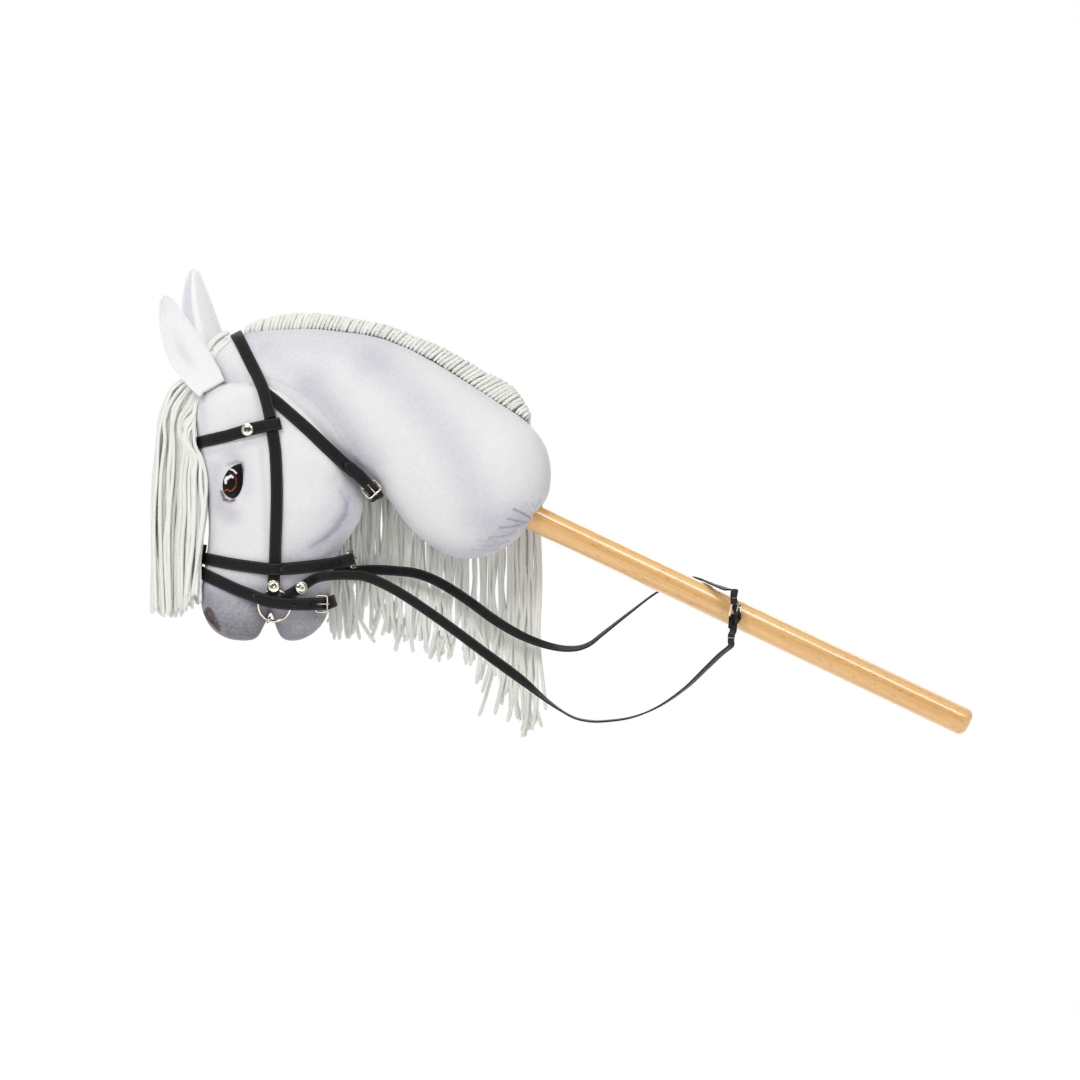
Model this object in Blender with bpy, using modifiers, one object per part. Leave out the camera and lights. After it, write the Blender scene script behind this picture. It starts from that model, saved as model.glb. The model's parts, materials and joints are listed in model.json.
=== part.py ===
"""A hobby horse: stuffed head and neck on a wooden stick, with a yarn mane and a leather bridle.

Metres, +Z up. The horse faces -X and its left side faces -Y. The stick runs down and back at the
slope it hangs at, and the origin is on its axis, where a hand or a hook holds it.
"""
import copy
import math

import bmesh
import bpy
import numpy as np
from mathutils import Matrix, Vector
from mathutils.bvhtree import BVHTree

MM = 0.001

# Stick
STICK_RADIUS = 14 * MM
STICK_SLOPE = math.radians(25.5)
STICK_TO_FOOT = 408 * MM
STICK_TO_TOP = 250 * MM
STICK_FOOT_ROUND = 8 * MM
STICK_TOP_CHAMFER = 2 * MM

# Fits between pieces
SEAT_GAP = 0.3 * MM
CUT_GAP = 0.45 * MM
STICK_BORE_GAP = 0.4 * MM

# Leather
STRAP_WIDTH = 12 * MM
STRAP_THICKNESS = 1.5 * MM
STRAP_LIFT = 0.8 * MM
REIN_WIDTH = 10 * MM
POINT_LENGTH = 8 * MM
HOLE_RADIUS = 1.1 * MM
HOLE_PITCH = 10.5 * MM

# Buckles
BUCKLE_WIDTH = 19 * MM
BUCKLE_LENGTH = 14 * MM
BUCKLE_WIRE = 1.1 * MM
BUCKLE_CORNER = 2.6 * MM
PRONG_WIRE = 0.8 * MM
FOLD_LENGTH = 12 * MM

# Press studs
STUD_RADIUS = 6.2 * MM
STUD_HEIGHT = 2.6 * MM
STUD_POST_RADIUS = 1.5 * MM
STUD_SEAT = 0.7 * MM
POST_CLEARANCE = 0.6 * MM

# Bit
RING_RADIUS = 16.2 * MM
RING_WIRE = 1.3 * MM
RING_LEAN = math.radians(16)
RING_CENTRE = (-326 * MM, -56.5 * MM)
MOUTHPIECE_RADIUS = 2.3 * MM
MOUTHPIECE_ANGLE = math.radians(248)
BIT_EYE_RADIUS = 2.9 * MM
BIT_EYE_WIRE = 1.1 * MM
REIN_ANGLE = math.radians(37)

# Ears
EAR_LENGTH = 104 * MM
EAR_WIDTH = 39 * MM
EAR_THICKNESS = 3.4 * MM
EAR_BURIED = 12 * MM
EAR_SPREAD = 24.6 * MM
EAR_SPLAY = math.radians(10)
EAR_LEAN_LEFT = math.radians(27)
EAR_LEAN_RIGHT = math.radians(10)
EAR_FOOT_LEFT = (-386.5 * MM, 159.5 * MM)
EAR_FOOT_RIGHT = (-388 * MM, 176 * MM)

# Yarn
CREST_HEIGHT = 10 * MM
CREST_HALF_WIDTH = 7 * MM
CREST_LOOP_PITCH = 9 * MM
FALL_THICKNESS = 9 * MM
FALL_LOCK_PITCH = 14 * MM
TUFT_HEIGHT = 6 * MM
TUFT_HALF_WIDTH = 9 * MM

EYE_DOME = 1.8 * MM
EYE_SEAT = 0.9 * MM

# Outlines of the stuffed pieces, in mm, seen from the left. Each spine point is (x, z, half width).
# Each outline point is (x, z, spine point it swells towards, share of the width at its edge).
HEAD_SPINE = [
    (-353, 139, 43), (-343, 109, 49), (-333, 74, 54), (-327, 41, 54), (-329, 9, 48),
    (-333, -17, 43), (-335, -39, 40), (-355, -55, 38), (-369, -65, 34), (-313, -53, 36),
    (-301, -63, 31),
]
HEAD_OUTLINE = [
    (-377, 170, 0, 0.55), (-392, 163.5, 0, 0.45), (-404, 152, 0, 0.35), (-409, 137, 0, 0.3),
    (-408, 115, 1, 0.3), (-404, 94, 1, 0.3), (-399, 72, 2, 0.28), (-396, 49, 3, 0.28),
    (-395, 24, 4, 0.28), (-396, 1, 5, 0.28), (-400, -19, 5, 0.26), (-402.5, -35, 6, 0.24),
    (-402.5, -51, 7, 0.22), (-399, -68, 8, 0.18), (-389, -83, 8, 0.15), (-374, -91, 8, 0.15),
    (-359, -93, 8, 0.15), (-346.5, -90, 8, 0.15), (-338.5, -81, 7, 0.12), (-333.5, -71.5, 6, 0.1),
    (-330, -62, 6, 0.1), (-326.5, -71.5, 6, 0.1), (-323, -82, 9, 0.12), (-314.5, -92, 10, 0.15),
    (-301, -93, 10, 0.15), (-287.5, -86, 10, 0.15), (-276, -75, 10, 0.18), (-269, -57, 9, 0.22),
    (-267.5, -39, 6, 0.24), (-266, -19, 5, 0.24), (-258, -0.5, 4, 0.24), (-247, 13, 4, 0.24),
    (-237, 28, 3, 0.26), (-232.5, 46, 3, 0.3), (-235, 61, 3, 0.4), (-244, 72, 2, 0.55),
    (-252, 84, 2, 0.72), (-260, 102, 2, 0.8), (-272, 123, 1, 0.86), (-288, 144, 1, 0.88),
    (-306, 159, 0, 0.9), (-328, 170, 0, 0.9), (-351, 173, 0, 0.8),
]
NECK_SPINE = [
    (-373, 181, 30), (-339, 175, 37), (-296, 161, 43), (-251, 141, 47), (-206, 115, 52),
    (-161, 87, 57), (-116, 66, 58),
]
NECK_OUTLINE = [
    (-394, 187, 0, 0.25), (-388, 202, 0, 0.2), (-375, 212, 0, 0.15), (-356, 218, 0, 0.12),
    (-331, 221, 1, 0.1), (-305, 223, 2, 0.1), (-278, 223, 2, 0.1), (-249, 220, 3, 0.1),
    (-219, 215, 3, 0.1), (-192, 204, 4, 0.1), (-166, 191.5, 4, 0.1), (-141, 176, 5, 0.1),
    (-117, 159.5, 5, 0.1), (-92, 144, 6, 0.1), (-69, 129, 6, 0.12), (-53, 108, 6, 0.15),
    (-46, 83, 6, 0.18), (-47.5, 60, 6, 0.2), (-54, 42.5, 6, 0.2), (-64, 28, 6, 0.2),
    (-77.5, 12, 6, 0.2), (-95.5, -2.5, 6, 0.2), (-115, -11.5, 6, 0.2), (-135, -15, 6, 0.2),
    (-152, -11.5, 5, 0.2), (-168.5, -2.5, 5, 0.2), (-184, 9, 5, 0.2), (-197, 24, 4, 0.22),
    (-208, 40, 4, 0.24), (-218, 55, 4, 0.26), (-228, 66, 3, 0.3), (-241, 74, 3, 0.3),
    (-258, 86, 3, 0.3), (-281, 102, 2, 0.3), (-308, 116, 2, 0.3), (-337, 130, 1, 0.3),
    (-362, 146, 1, 0.3), (-382, 163, 0, 0.3),
]
FORELOCK_SPINE = [(-417, 155, 15), (-424, 120, 22), (-429, 80, 26), (-430, 30, 27), (-432, -30, 24)]
FORELOCK_OUTLINE = [
    (-398, 163, 0, 0.4), (-413, 174, 0, 0.35), (-426, 172, 0, 0.3), (-435, 161, 0, 0.3),
    (-440, 144, 0, 0.3), (-444, 120, 1, 0.3), (-448, 90, 2, 0.3), (-451, 50, 3, 0.3),
    (-451, 10, 3, 0.3), (-451, -25, 4, 0.3), (-450, -52, 4, 0.3), (-442, -69, 4, 0.3),
    (-430, -64, 4, 0.3), (-419, -57, 4, 0.3), (-412, -41, 4, 0.3), (-411, -20, 4, 0.3),
    (-408, 5, 3, 0.3), (-401, 26, 3, 0.3), (-400, 46, 3, 0.3), (-402, 66, 2, 0.3),
    (-404, 90, 2, 0.3), (-404, 112, 1, 0.3), (-402, 135, 1, 0.35), (-397, 150, 0, 0.4),
]
EYE_OUTLINE = [
    (-360.5, 85.5), (-367, 83.5), (-373, 79), (-377.5, 72), (-379.2, 65), (-378.5, 58),
    (-375, 53), (-369.5, 50.5), (-364.5, 52.5), (-361, 58), (-359, 65), (-358.8, 74),
]
EYE_CENTRE = (-368.5, 67)

# Routes of the straps, in mm, seen from the left; each is swept sideways and pulled taut
CHEEK_ROUTE = [
    (-379, 239), (-372, 227), (-365.5, 216), (-358, 202), (-351, 188), (-344, 174), (-338, 160),
    (-333.5, 145), (-330, 130), (-327.5, 115), (-325, 97), (-324, 79), (-323.5, 54), (-324, 29),
    (-325, 4), (-325.5, -16), (-327, -34), (-327.5, -51), (-327.5, -63),
]
NOSEBAND_ROUTE = [
    (-233, -6), (-244, -8.5), (-256, -11.8), (-271, -14.8), (-291, -17.2), (-311, -19),
    (-331, -19.5), (-351, -17.5), (-371, -14.5), (-386, -11.5), (-399, -9), (-411, -8),
]
FLASH_ROUTE = [
    (-249, -46), (-259, -49), (-272, -53), (-286, -54.5), (-306, -53.5), (-326, -51),
    (-343, -47.5), (-361, -41.5), (-373, -36), (-386, -30), (-398, -24), (-411, -17.5),
]
BROWBAND_ROUTE = [
    (-419, 102.5), (-411, 104.5), (-396, 107.5), (-371, 113), (-352, 118.5), (-336, 122),
    (-320, 125), (-305, 129),
]
THROAT_ROUTE = [
    (-220, 36), (-223.5, 46), (-227, 55), (-231.5, 62), (-238.5, 69), (-247, 76.5), (-258, 86),
    (-272, 98.5), (-290, 116), (-309, 133.5), (-325, 147.5), (-336, 156),
]


def remove_everything():
    """Empty the scene, so that the script can be run again."""
    for thing in list(bpy.data.objects):
        bpy.data.objects.remove(thing, do_unlink=True)
    for group in list(bpy.data.collections):
        bpy.data.collections.remove(group)


remove_everything()
PARTS = bpy.data.collections.new("hobby_horse")
CUTTERS = bpy.data.collections.new("cutters")
bpy.context.scene.collection.children.link(PARTS)
bpy.context.scene.collection.children.link(CUTTERS)


def material(name, colour, roughness, metallic=0.0):
    """One Principled material."""
    made = bpy.data.materials.new(name)
    made.use_nodes = True
    shader = made.node_tree.nodes["Principled BSDF"]
    shader.inputs["Base Color"].default_value = (*colour, 1)
    shader.inputs["Roughness"].default_value = roughness
    shader.inputs["Metallic"].default_value = metallic
    made.diffuse_color = (*colour, 1)
    return made


WOOD = ((0.72, 0.40, 0.14), 0.35, 0.0)
CLOTH = ((0.86, 0.85, 0.88), 0.95, 0.0)
YARN = ((0.84, 0.84, 0.78), 0.9, 0.0)
LEATHER = ((0.018, 0.018, 0.02), 0.5, 0.0)
NICKEL = ((0.75, 0.72, 0.64), 0.22, 1.0)
PRINTED_EYE = ((0.02, 0.012, 0.01), 0.3, 0.0)


def link(name, data, finish, group=PARTS):
    """Wrap mesh or curve data in a named object with a material of its own."""
    thing = bpy.data.objects.new(name, data)
    group.objects.link(thing)
    if finish:
        data.materials.append(material(name + "_finish", *finish))
    else:
        thing.hide_render = True
        thing.display_type = "WIRE"
    return thing


def mesh_object(name, build, finish, group=PARTS):
    """Turn a bmesh into an object with its faces pointing out and shaded smooth."""
    bmesh.ops.recalc_face_normals(build, faces=build.faces)
    if build.calc_volume(signed=True) < 0:
        bmesh.ops.reverse_faces(build, faces=build.faces)
    data = bpy.data.meshes.new(name)
    build.to_mesh(data)
    build.free()
    data.shade_smooth()
    return link(name, data, finish, group)


def evaluated(thing):
    """A bmesh of the object as its modifiers leave it, in world space."""
    bpy.context.view_layer.update()
    graph = bpy.context.evaluated_depsgraph_get()
    final = thing.evaluated_get(graph)
    build = bmesh.new()
    build.from_mesh(final.to_mesh())
    final.to_mesh_clear()
    build.transform(thing.matrix_world)
    return build


def surface_of(*things):
    """A tree of the faces of several objects, for rays."""
    points = []
    faces = []
    for thing in things:
        build = evaluated(thing)
        first = len(points)
        points.extend(vertex.co.copy() for vertex in build.verts)
        faces.extend([first + vertex.index for vertex in face.verts] for face in build.faces)
        build.free()
    return BVHTree.FromPolygons(points, faces)


def grown_cutter(thing, gap):
    """A copy of a piece, swollen by a gap, to cut room for that piece out of its neighbours."""
    build = evaluated(thing)
    build.normal_update()
    moves = [(vertex, vertex.normal.copy()) for vertex in build.verts]
    for vertex, normal in moves:
        vertex.co += normal * gap
    return mesh_object(thing.name + "_room", build, None, CUTTERS)


def cut(thing, cutter):
    """Take a cutter out of a piece."""
    modifier = thing.modifiers.new("cut_" + cutter.name, "BOOLEAN")
    modifier.operation = "DIFFERENCE"
    modifier.solver = "EXACT"
    modifier.object = cutter


def settle(thing, merge=0.05 * MM):
    """Apply a piece's modifiers and merge the specks that cutting leaves."""
    build = evaluated(thing)
    build.transform(thing.matrix_world.inverted())
    bmesh.ops.remove_doubles(build, verts=build.verts, dist=merge)
    bmesh.ops.dissolve_degenerate(build, edges=build.edges, dist=merge / 2)
    bmesh.ops.triangulate(build, faces=build.faces)
    thing.modifiers.clear()
    build.to_mesh(thing.data)
    build.free()


def smooth_curve(points, step):
    """Points about a step apart on a smooth curve through the given ones (Catmull-Rom)."""
    knots = np.array(points, dtype=float)
    before = 2 * knots[0] - knots[1]
    after = 2 * knots[-1] - knots[-2]
    padded = np.vstack([before, knots, after])
    fine = []
    for i in range(1, len(padded) - 2):
        a, b, c, d = padded[i - 1:i + 3]
        for share in np.linspace(0, 1, 12, endpoint=False):
            fine.append(0.5 * (2 * b + (c - a) * share + (2 * a - 5 * b + 4 * c - d) * share ** 2
                               + (3 * b - a - 3 * c + d) * share ** 3))
    fine.append(knots[-1])
    return even_steps(np.array(fine), step)


def even_steps(line, step=None, count=None):
    """The same line with its points an even distance apart."""
    lengths = np.concatenate([[0], np.cumsum(np.linalg.norm(np.diff(line, axis=0), axis=1))])
    if count is None:
        count = max(2, int(round(lengths[-1] / step)) + 1)
    wanted = np.linspace(0, lengths[-1], count)
    return np.column_stack([np.interp(wanted, lengths, line[:, k]) for k in range(line.shape[1])])


def stuffed(name, spine, outline, finish, layers=3):
    """A soft form that swells from its outline to its spine, smoothed by a subdivision surface."""
    build = bmesh.new()
    spine_vertices = {}
    for side in (-1, 1):
        for i, (x, z, half) in enumerate(spine):
            spine_vertices[side, i] = build.verts.new((x * MM, side * half * MM, z * MM))
    rim = [build.verts.new((x * MM, 0, z * MM)) for x, z, _, _ in outline]
    for side in (-1, 1):
        rings = [rim]
        for layer in range(1, layers):
            turn = math.radians(90) * layer / layers
            inward = 1 - math.cos(turn)
            ring = []
            for x, z, target, edge in outline:
                spine_x, spine_z, half = spine[target]
                out = half * (edge + (1 - edge) * math.sin(turn))
                ring.append(build.verts.new(((x + (spine_x - x) * inward) * MM, side * out * MM,
                                             (z + (spine_z - z) * inward) * MM)))
            rings.append(ring)
        count = len(outline)
        for outer, inner in zip(rings, rings[1:]):
            for i in range(count):
                j = (i + 1) % count
                build.faces.new((outer[i], outer[j], inner[j], inner[i]))
        for i in range(count):
            j = (i + 1) % count
            here = spine_vertices[side, outline[i][2]]
            there = spine_vertices[side, outline[j][2]]
            corners = [rings[-1][i], rings[-1][j], there]
            if there is not here:
                corners.append(here)
            build.faces.new(corners)
    thing = mesh_object(name, build, finish)
    smoother = thing.modifiers.new("soft", "SUBSURF")
    smoother.levels = 1
    smoother.render_levels = 1
    return thing


def turned(name, profile, steps, place, finish, group=PARTS):
    """A piece turned about its local Z. The profile runs down its outer side, top to bottom."""
    data = bpy.data.meshes.new(name)
    points = [(radius, 0, height) for radius, height in profile]
    data.from_pydata(points, [(i, i + 1) for i in range(len(points) - 1)], [])
    thing = link(name, data, finish, group)
    thing.matrix_world = place
    lathe = thing.modifiers.new("turn", "SCREW")
    lathe.steps = steps
    lathe.render_steps = steps
    lathe.use_merge_vertices = True
    lathe.merge_threshold = 0.01 * MM
    lathe.use_smooth_shade = True
    return thing


def wire(name, points, radius, finish, origin=(0, 0, 0), closed=False, resolution=2):
    """A round wire along a line of points, with its origin where it is asked for."""
    data = bpy.data.curves.new(name, "CURVE")
    data.dimensions = "3D"
    data.bevel_depth = radius
    data.bevel_resolution = resolution
    data.use_fill_caps = True
    spline = data.splines.new("POLY")
    spline.points.add(len(points) - 1)
    for knot, point in zip(spline.points, points):
        knot.co = (*(Vector(point) - Vector(origin)), 1)
    spline.use_cyclic_u = closed
    spline.use_smooth = True
    curve = bpy.data.objects.new(name + "_line", data)
    PARTS.objects.link(curve)
    bpy.context.view_layer.update()
    final = curve.evaluated_get(bpy.context.evaluated_depsgraph_get())
    build = bmesh.new()
    build.from_mesh(bpy.data.meshes.new_from_object(final))
    bpy.data.objects.remove(curve, do_unlink=True)
    bmesh.ops.remove_doubles(build, verts=build.verts, dist=0.001 * MM)
    thing = mesh_object(name, build, finish)
    thing.location = origin
    return thing


def frame_matrix(origin, x_axis, y_axis, z_axis):
    """A placement with the given origin and unit axes."""
    place = Matrix((x_axis, y_axis, z_axis)).transposed().to_4x4()
    place.translation = origin
    return place


def box_cutter(name, place, size):
    """A box, centred on its placement, that cuts and is not a part."""
    build = bmesh.new()
    bmesh.ops.create_cube(build, size=1)
    build.transform(place @ Matrix.Diagonal((*size, 1)))
    return mesh_object(name, build, None, CUTTERS)


def pin_cutter(name, place, radius, length, sides=12):
    """A round cutter along the local Z of its placement."""
    build = bmesh.new()
    bmesh.ops.create_cone(build, cap_ends=True, segments=sides, radius1=radius, radius2=radius,
                          depth=length)
    build.transform(place)
    return mesh_object(name, build, None, CUTTERS)


# Heights of stacked leather above what it lies on
LAYER_STEP = STRAP_THICKNESS + SEAT_GAP


def layer(number):
    """How far the middle of the leather in this layer lies above the stuffed surface."""
    return STRAP_LIFT + STRAP_THICKNESS / 2 + (number - 1) * LAYER_STEP


class Track:
    """Where a strap lies: place(u, t, d) is u along it, t across it and d above the surface."""

    def __init__(self, low, middle, high, width):
        self.low, self.middle, self.high = low, middle, high
        self.width = width
        steps = np.linalg.norm(np.diff(middle, axis=0), axis=1)
        self.u = np.concatenate([[0], np.cumsum(steps)])
        self.length = self.u[-1]
        along = np.gradient(middle, axis=0)
        across = high - low
        normal = np.cross(along, across)
        self.normal = normal / np.linalg.norm(normal, axis=1)[:, None]
        self.wrap_start = self.wrap_end = False
        self.rises = None

    def fold(self, u):
        """Bring u back onto the left half; the right half is its mirror image."""
        mirrored = False
        if self.wrap_start and self.wrap_end:
            u = u % (2 * self.length)
        if u < 0 and self.wrap_start:
            u, mirrored = -u, True
        if u > self.length and self.wrap_end:
            u, mirrored = 2 * self.length - u, True
        return u, mirrored

    def place(self, u, t=0.0, d=0.0):
        u, mirrored = self.fold(u)
        inside = min(max(u, 0), self.length)
        low, middle, high, normal = [
            np.array([np.interp(inside, self.u, line[:, k]) for k in range(3)])
            for line in (self.low, self.middle, self.high, self.normal)]
        share = 2 * t / self.width
        bow = min(share * share, 1)
        point = middle + (high - low) * share / 2 + (high + low - 2 * middle) * bow / 2
        if u != inside:
            ahead = (self.middle[-1] - self.middle[-2]) if u > inside else (
                self.middle[1] - self.middle[0])
            point = point + ahead / np.linalg.norm(ahead) * (u - inside)
        point = point + normal / np.linalg.norm(normal) * d
        if mirrored:
            point[1] = -point[1]
        return Vector(point)

    def axes(self, u, d=0.0):
        """Unit vectors along the strap, across it and out of it."""
        reach = 0.5 * MM
        along = (self.place(u + reach, 0, d) - self.place(u - reach, 0, d)).normalized()
        across = (self.place(u, self.width / 2, d) - self.place(u, -self.width / 2, d))
        out = (self.place(u, 0, d + MM) - self.place(u, 0, d)).normalized()
        across = (across - across.dot(out) * out).normalized()
        along = (along - along.dot(out) * out).normalized()
        return along, across, out

    def frame(self, u, d=0.0):
        """A placement on the strap: X along it, Y across it, Z out of it."""
        along, across, out = self.axes(u, d)
        if along.cross(across).dot(out) < 0:
            across = -across
        return frame_matrix(self.place(u, 0, d), along, across, out)

    def flatten(self, centre, half, blend):
        """Make the strap straight about one place, where a buckle lies; returns that place."""
        i = int(np.argmin(np.abs(self.u - centre)))
        ahead = self.middle[i + 1] - self.middle[i - 1]
        ahead /= np.linalg.norm(ahead)
        share = np.clip((half + blend - np.abs(self.u - self.u[i])) / blend, 0, 1)
        share = (share * share * (3 - 2 * share))[:, None]
        level = self.middle[i] + (self.u - self.u[i])[:, None] * ahead
        across = self.high[i] - self.low[i]
        across -= across.dot(ahead) * ahead
        across *= self.width / 2 / np.linalg.norm(across)
        rows = [line * (1 - share) + (level + across * side) * share
                for line, side in ((self.low, -1), (self.middle, 0), (self.high, 1))]
        wraps = (self.wrap_start, self.wrap_end)
        self.__init__(*rows, self.width)
        self.wrap_start, self.wrap_end = wraps
        return self.u[i]

    def find(self, x):
        """The u on the left half where the strap passes this x."""
        return float(np.interp(x, self.middle[:, 0], self.u)) if (
            self.middle[-1, 0] > self.middle[0, 0]) else float(
            np.interp(-x, -self.middle[:, 0], self.u))

    def find_height(self, z):
        """The u on the left half where the strap passes this height."""
        return float(np.interp(-z, -self.middle[:, 2], self.u))

    def rise_over(self, *things):
        """Learn how far the strap has to lift to pass over pieces that already lie there."""
        tree = surface_of(*things)
        start = -self.length if self.wrap_start else 0
        end = 2 * self.length if self.wrap_end else self.length
        if self.wrap_start and self.wrap_end:
            start, end = -self.length, self.length
        samples = np.arange(start, end + MM, MM)
        above = 40 * MM
        heights = []
        for u in samples:
            _, _, out = self.axes(u)
            tallest = 0
            for t in (-0.5, -0.25, 0, 0.25, 0.5):
                origin = self.place(u, t * self.width, above)
                hit = tree.ray_cast(origin, -out, above)
                if hit[0] is not None:
                    tallest = max(tallest, above - hit[3])
            heights.append(tallest)
        heights = np.array(heights)
        spread = 9
        wide = np.array([heights[max(0, i - spread):i + spread + 1].max()
                         for i in range(len(heights))])
        ramp = np.ones(2 * spread + 1) / (2 * spread + 1)
        padded = np.pad(wide, spread, mode="edge")
        self.rises = (samples, np.convolve(padded, ramp, mode="valid"))

    def rise(self, u):
        if self.rises is None:
            return 0.0
        samples, heights = self.rises
        if self.wrap_start and self.wrap_end:
            while u < samples[0]:
                u += 2 * self.length
            while u > samples[-1]:
                u -= 2 * self.length
        return float(np.interp(u, samples, heights))


def taut_chain(samples):
    """The upper hull of (s, y) samples: how a taut strap bridges the hollows."""
    hull = []
    for point in samples:
        while len(hull) > 1:
            (s1, y1), (s2, y2) = hull[-2], hull[-1]
            if (s2 - s1) * (point[1] - y1) - (y2 - y1) * (point[0] - s1) < 0:
                break
            hull.pop()
        hull.append(point)
    return hull


def girth_track(route, width, body, wrap_start, wrap_end, slack=0, slack_half=0):
    """The track of a strap that follows a side-view route round the stuffed form.

    With slack, the strap stands off behind the form, where its route starts.
    """
    line = smooth_curve([(x * MM, z * MM) for x, z in route], MM)
    tangent = np.gradient(line, axis=0)
    tangent /= np.linalg.norm(tangent, axis=1)[:, None]
    normal = np.column_stack([-tangent[:, 1], tangent[:, 0]])
    s = np.arange(len(line)) * MM
    rows = []
    reach = 300 * MM
    found = []
    sides = (-width / 2, 0, width / 2)
    for t in sides:
        samples = []
        near = [t + shift for shift in (-3 * MM, -1.5 * MM, 0, 1.5 * MM, 3 * MM)
                if abs(t + shift) <= width / 2 + 1 * MM]
        for i, (x, z) in enumerate(line):
            outs = []
            for beside in near:
                hit = body.ray_cast(Vector((x + normal[i][0] * beside, -reach,
                                            z + normal[i][1] * beside)), Vector((0, 1, 0)))
                if hit[0] is not None:
                    outs.append(-hit[0].y)
            if outs:
                samples.append((s[i], max(outs)))
        found.append(samples)
    rear = min(samples[0][0] for samples in found)
    front = max(samples[-1][0] for samples in found)
    for t, samples in zip(sides, found):
        if wrap_start:
            first = rear - max(slack, 1 * MM)
            samples.append((first, 0))
            for turn in (20, 40, 60, 75, 90) if slack_half else ():
                turn = math.radians(turn)
                samples.append((first + 0.45 * slack_half * (1 - max(0, math.cos(turn)) ** 0.7),
                                slack_half * math.sin(turn) ** 0.7))
        if wrap_end:
            samples.append((front + 1 * MM, 0))
        samples.sort()
        chain = even_steps(np.array(taut_chain(samples)), count=160)
        for _ in range(4):
            first, last = chain[0].copy(), chain[-1].copy()
            before = chain[1] * (1, -1) if wrap_start else 2 * first - chain[1]
            after = chain[-2] * (1, -1) if wrap_end else 2 * last - chain[-2]
            padded = np.vstack([before, chain, after])
            chain = 0.25 * padded[:-2] + 0.5 * padded[1:-1] + 0.25 * padded[2:]
            if wrap_start:
                chain[0, 1] = 0
            if wrap_end:
                chain[-1, 1] = 0
        x = np.interp(chain[:, 0], s, line[:, 0]) + t * np.interp(chain[:, 0], s, normal[:, 0])
        z = np.interp(chain[:, 0], s, line[:, 1]) + t * np.interp(chain[:, 0], s, normal[:, 1])
        rows.append(np.column_stack([x, -chain[:, 1], z]))
    track = Track(rows[2], rows[1], rows[0], width)
    if track.normal[80, 1] > 0:
        track = Track(rows[0], rows[1], rows[2], width)
    track.wrap_start, track.wrap_end = wrap_start, wrap_end
    return track


def straight_track(start, direction, across, length, width):
    """The track of a short tab that stands off in a straight line."""
    line = np.array([Vector(start) + Vector(direction) * share * length
                     for share in np.linspace(0, 1, 12)])
    side = np.array(Vector(across).normalized()) * width / 2
    return Track(line - side, line, line + side, width)


def eased(knots):
    """A height that changes smoothly from knot to knot of (u, d)."""
    places = [u for u, _ in knots]
    heights = [d for _, d in knots]

    def height(u):
        if u <= places[0]:
            return heights[0]
        for (u1, d1), (u2, d2) in zip(knots, knots[1:]):
            if u <= u2:
                share = (u - u1) / (u2 - u1)
                share = share * share * (3 - 2 * share)
                return d1 + (d2 - d1) * share
        return heights[-1]

    return height


def run(track, start, end, height, step=1.5 * MM, lifted=True):
    """Points of a strap from start to end, at a height and over what lies below."""
    count = max(2, int(math.ceil(abs(end - start) / step)) + 1)
    return [(u, height(u) + (track.rise(u) if lifted else 0))
            for u in np.linspace(start, end, count)]


def bend(u, d, radius, first, sweep, steps=6):
    """Points of a turn about (u, d)."""
    angles = [math.radians(first + sweep * i / steps) for i in range(steps + 1)]
    return [(u + radius * math.cos(angle), d + radius * math.sin(angle)) for angle in angles]


def needed_sections(track, line, width, slip=0.14 * MM, longest=14 * MM):
    """Leave out the sections that a straight span between their neighbours would pass through."""
    edges = [np.array([track.place(u, t, d) for u, d in line])
             for t in (-width / 2, 0, width / 2)]
    kept = [0]
    while kept[-1] < len(line) - 1:
        first = kept[-1]
        last = first + 1
        while last + 1 < len(line):
            trial = last + 1
            straight = True
            for edge in edges:
                span = edge[trial] - edge[first]
                length = np.linalg.norm(span)
                between = edge[first + 1:trial] - edge[first]
                off = between - np.outer(between @ span / length ** 2, span)
                if length > longest or np.linalg.norm(off, axis=1).max() > slip:
                    straight = False
            if not straight:
                break
            last = trial
        kept.append(last)
    return kept


def strap(name, track, path, width=STRAP_WIDTH, finish=LEATHER, pointed=False,
          thickness=STRAP_THICKNESS):
    """A strap of even thickness along a path of (u, d) on a track."""
    line = np.array(path)
    keep = np.concatenate([[True], np.linalg.norm(np.diff(line, axis=0), axis=1) > 0.05 * MM])
    line = line[keep]
    kept = needed_sections(track, line, width)
    if pointed:
        kept = sorted(set(kept) | set(range(len(line) - 5, len(line))))
    line = line[kept]
    ahead = np.diff(line, axis=0)
    ahead /= np.linalg.norm(ahead, axis=1)[:, None]
    tangent = np.vstack([ahead[:1], ahead[:-1] + ahead[1:], ahead[-1:]])
    tangent /= np.linalg.norm(tangent, axis=1)[:, None]
    # A mitred corner keeps the thickness where the path turns
    slant = np.concatenate([[1], np.sum(tangent[1:-1] * ahead[1:], axis=1), [1]])
    normal = np.column_stack([-tangent[:, 1], tangent[:, 0]]) / slant[:, None]
    travelled = np.concatenate([[0], np.cumsum(np.linalg.norm(np.diff(line, axis=0), axis=1))])
    build = bmesh.new()
    sections = []
    for i, (u, d) in enumerate(line):
        half = width / 2
        if pointed:
            half *= point_share(travelled[-1] - travelled[i])
        corners = []
        for side, across in ((-1, -1), (-1, 0), (-1, 1), (1, 1), (1, 0), (1, -1)):
            shift = normal[i] * side * thickness / 2
            corners.append(build.verts.new(track.place(u + shift[0], across * half, d + shift[1])))
        sections.append(corners)
    for one, two in zip(sections, sections[1:]):
        for i in range(6):
            j = (i + 1) % 6
            build.faces.new((one[i], one[j], two[j], two[i]))
    for ends in (sections[0], sections[-1]):
        build.faces.new((ends[0], ends[1], ends[4], ends[5]))
        build.faces.new((ends[1], ends[2], ends[3], ends[4]))
    thing = mesh_object(name, build, finish, PARTS if finish else CUTTERS)
    thing.data.set_sharp_from_angle(angle=math.radians(40))
    return thing


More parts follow.
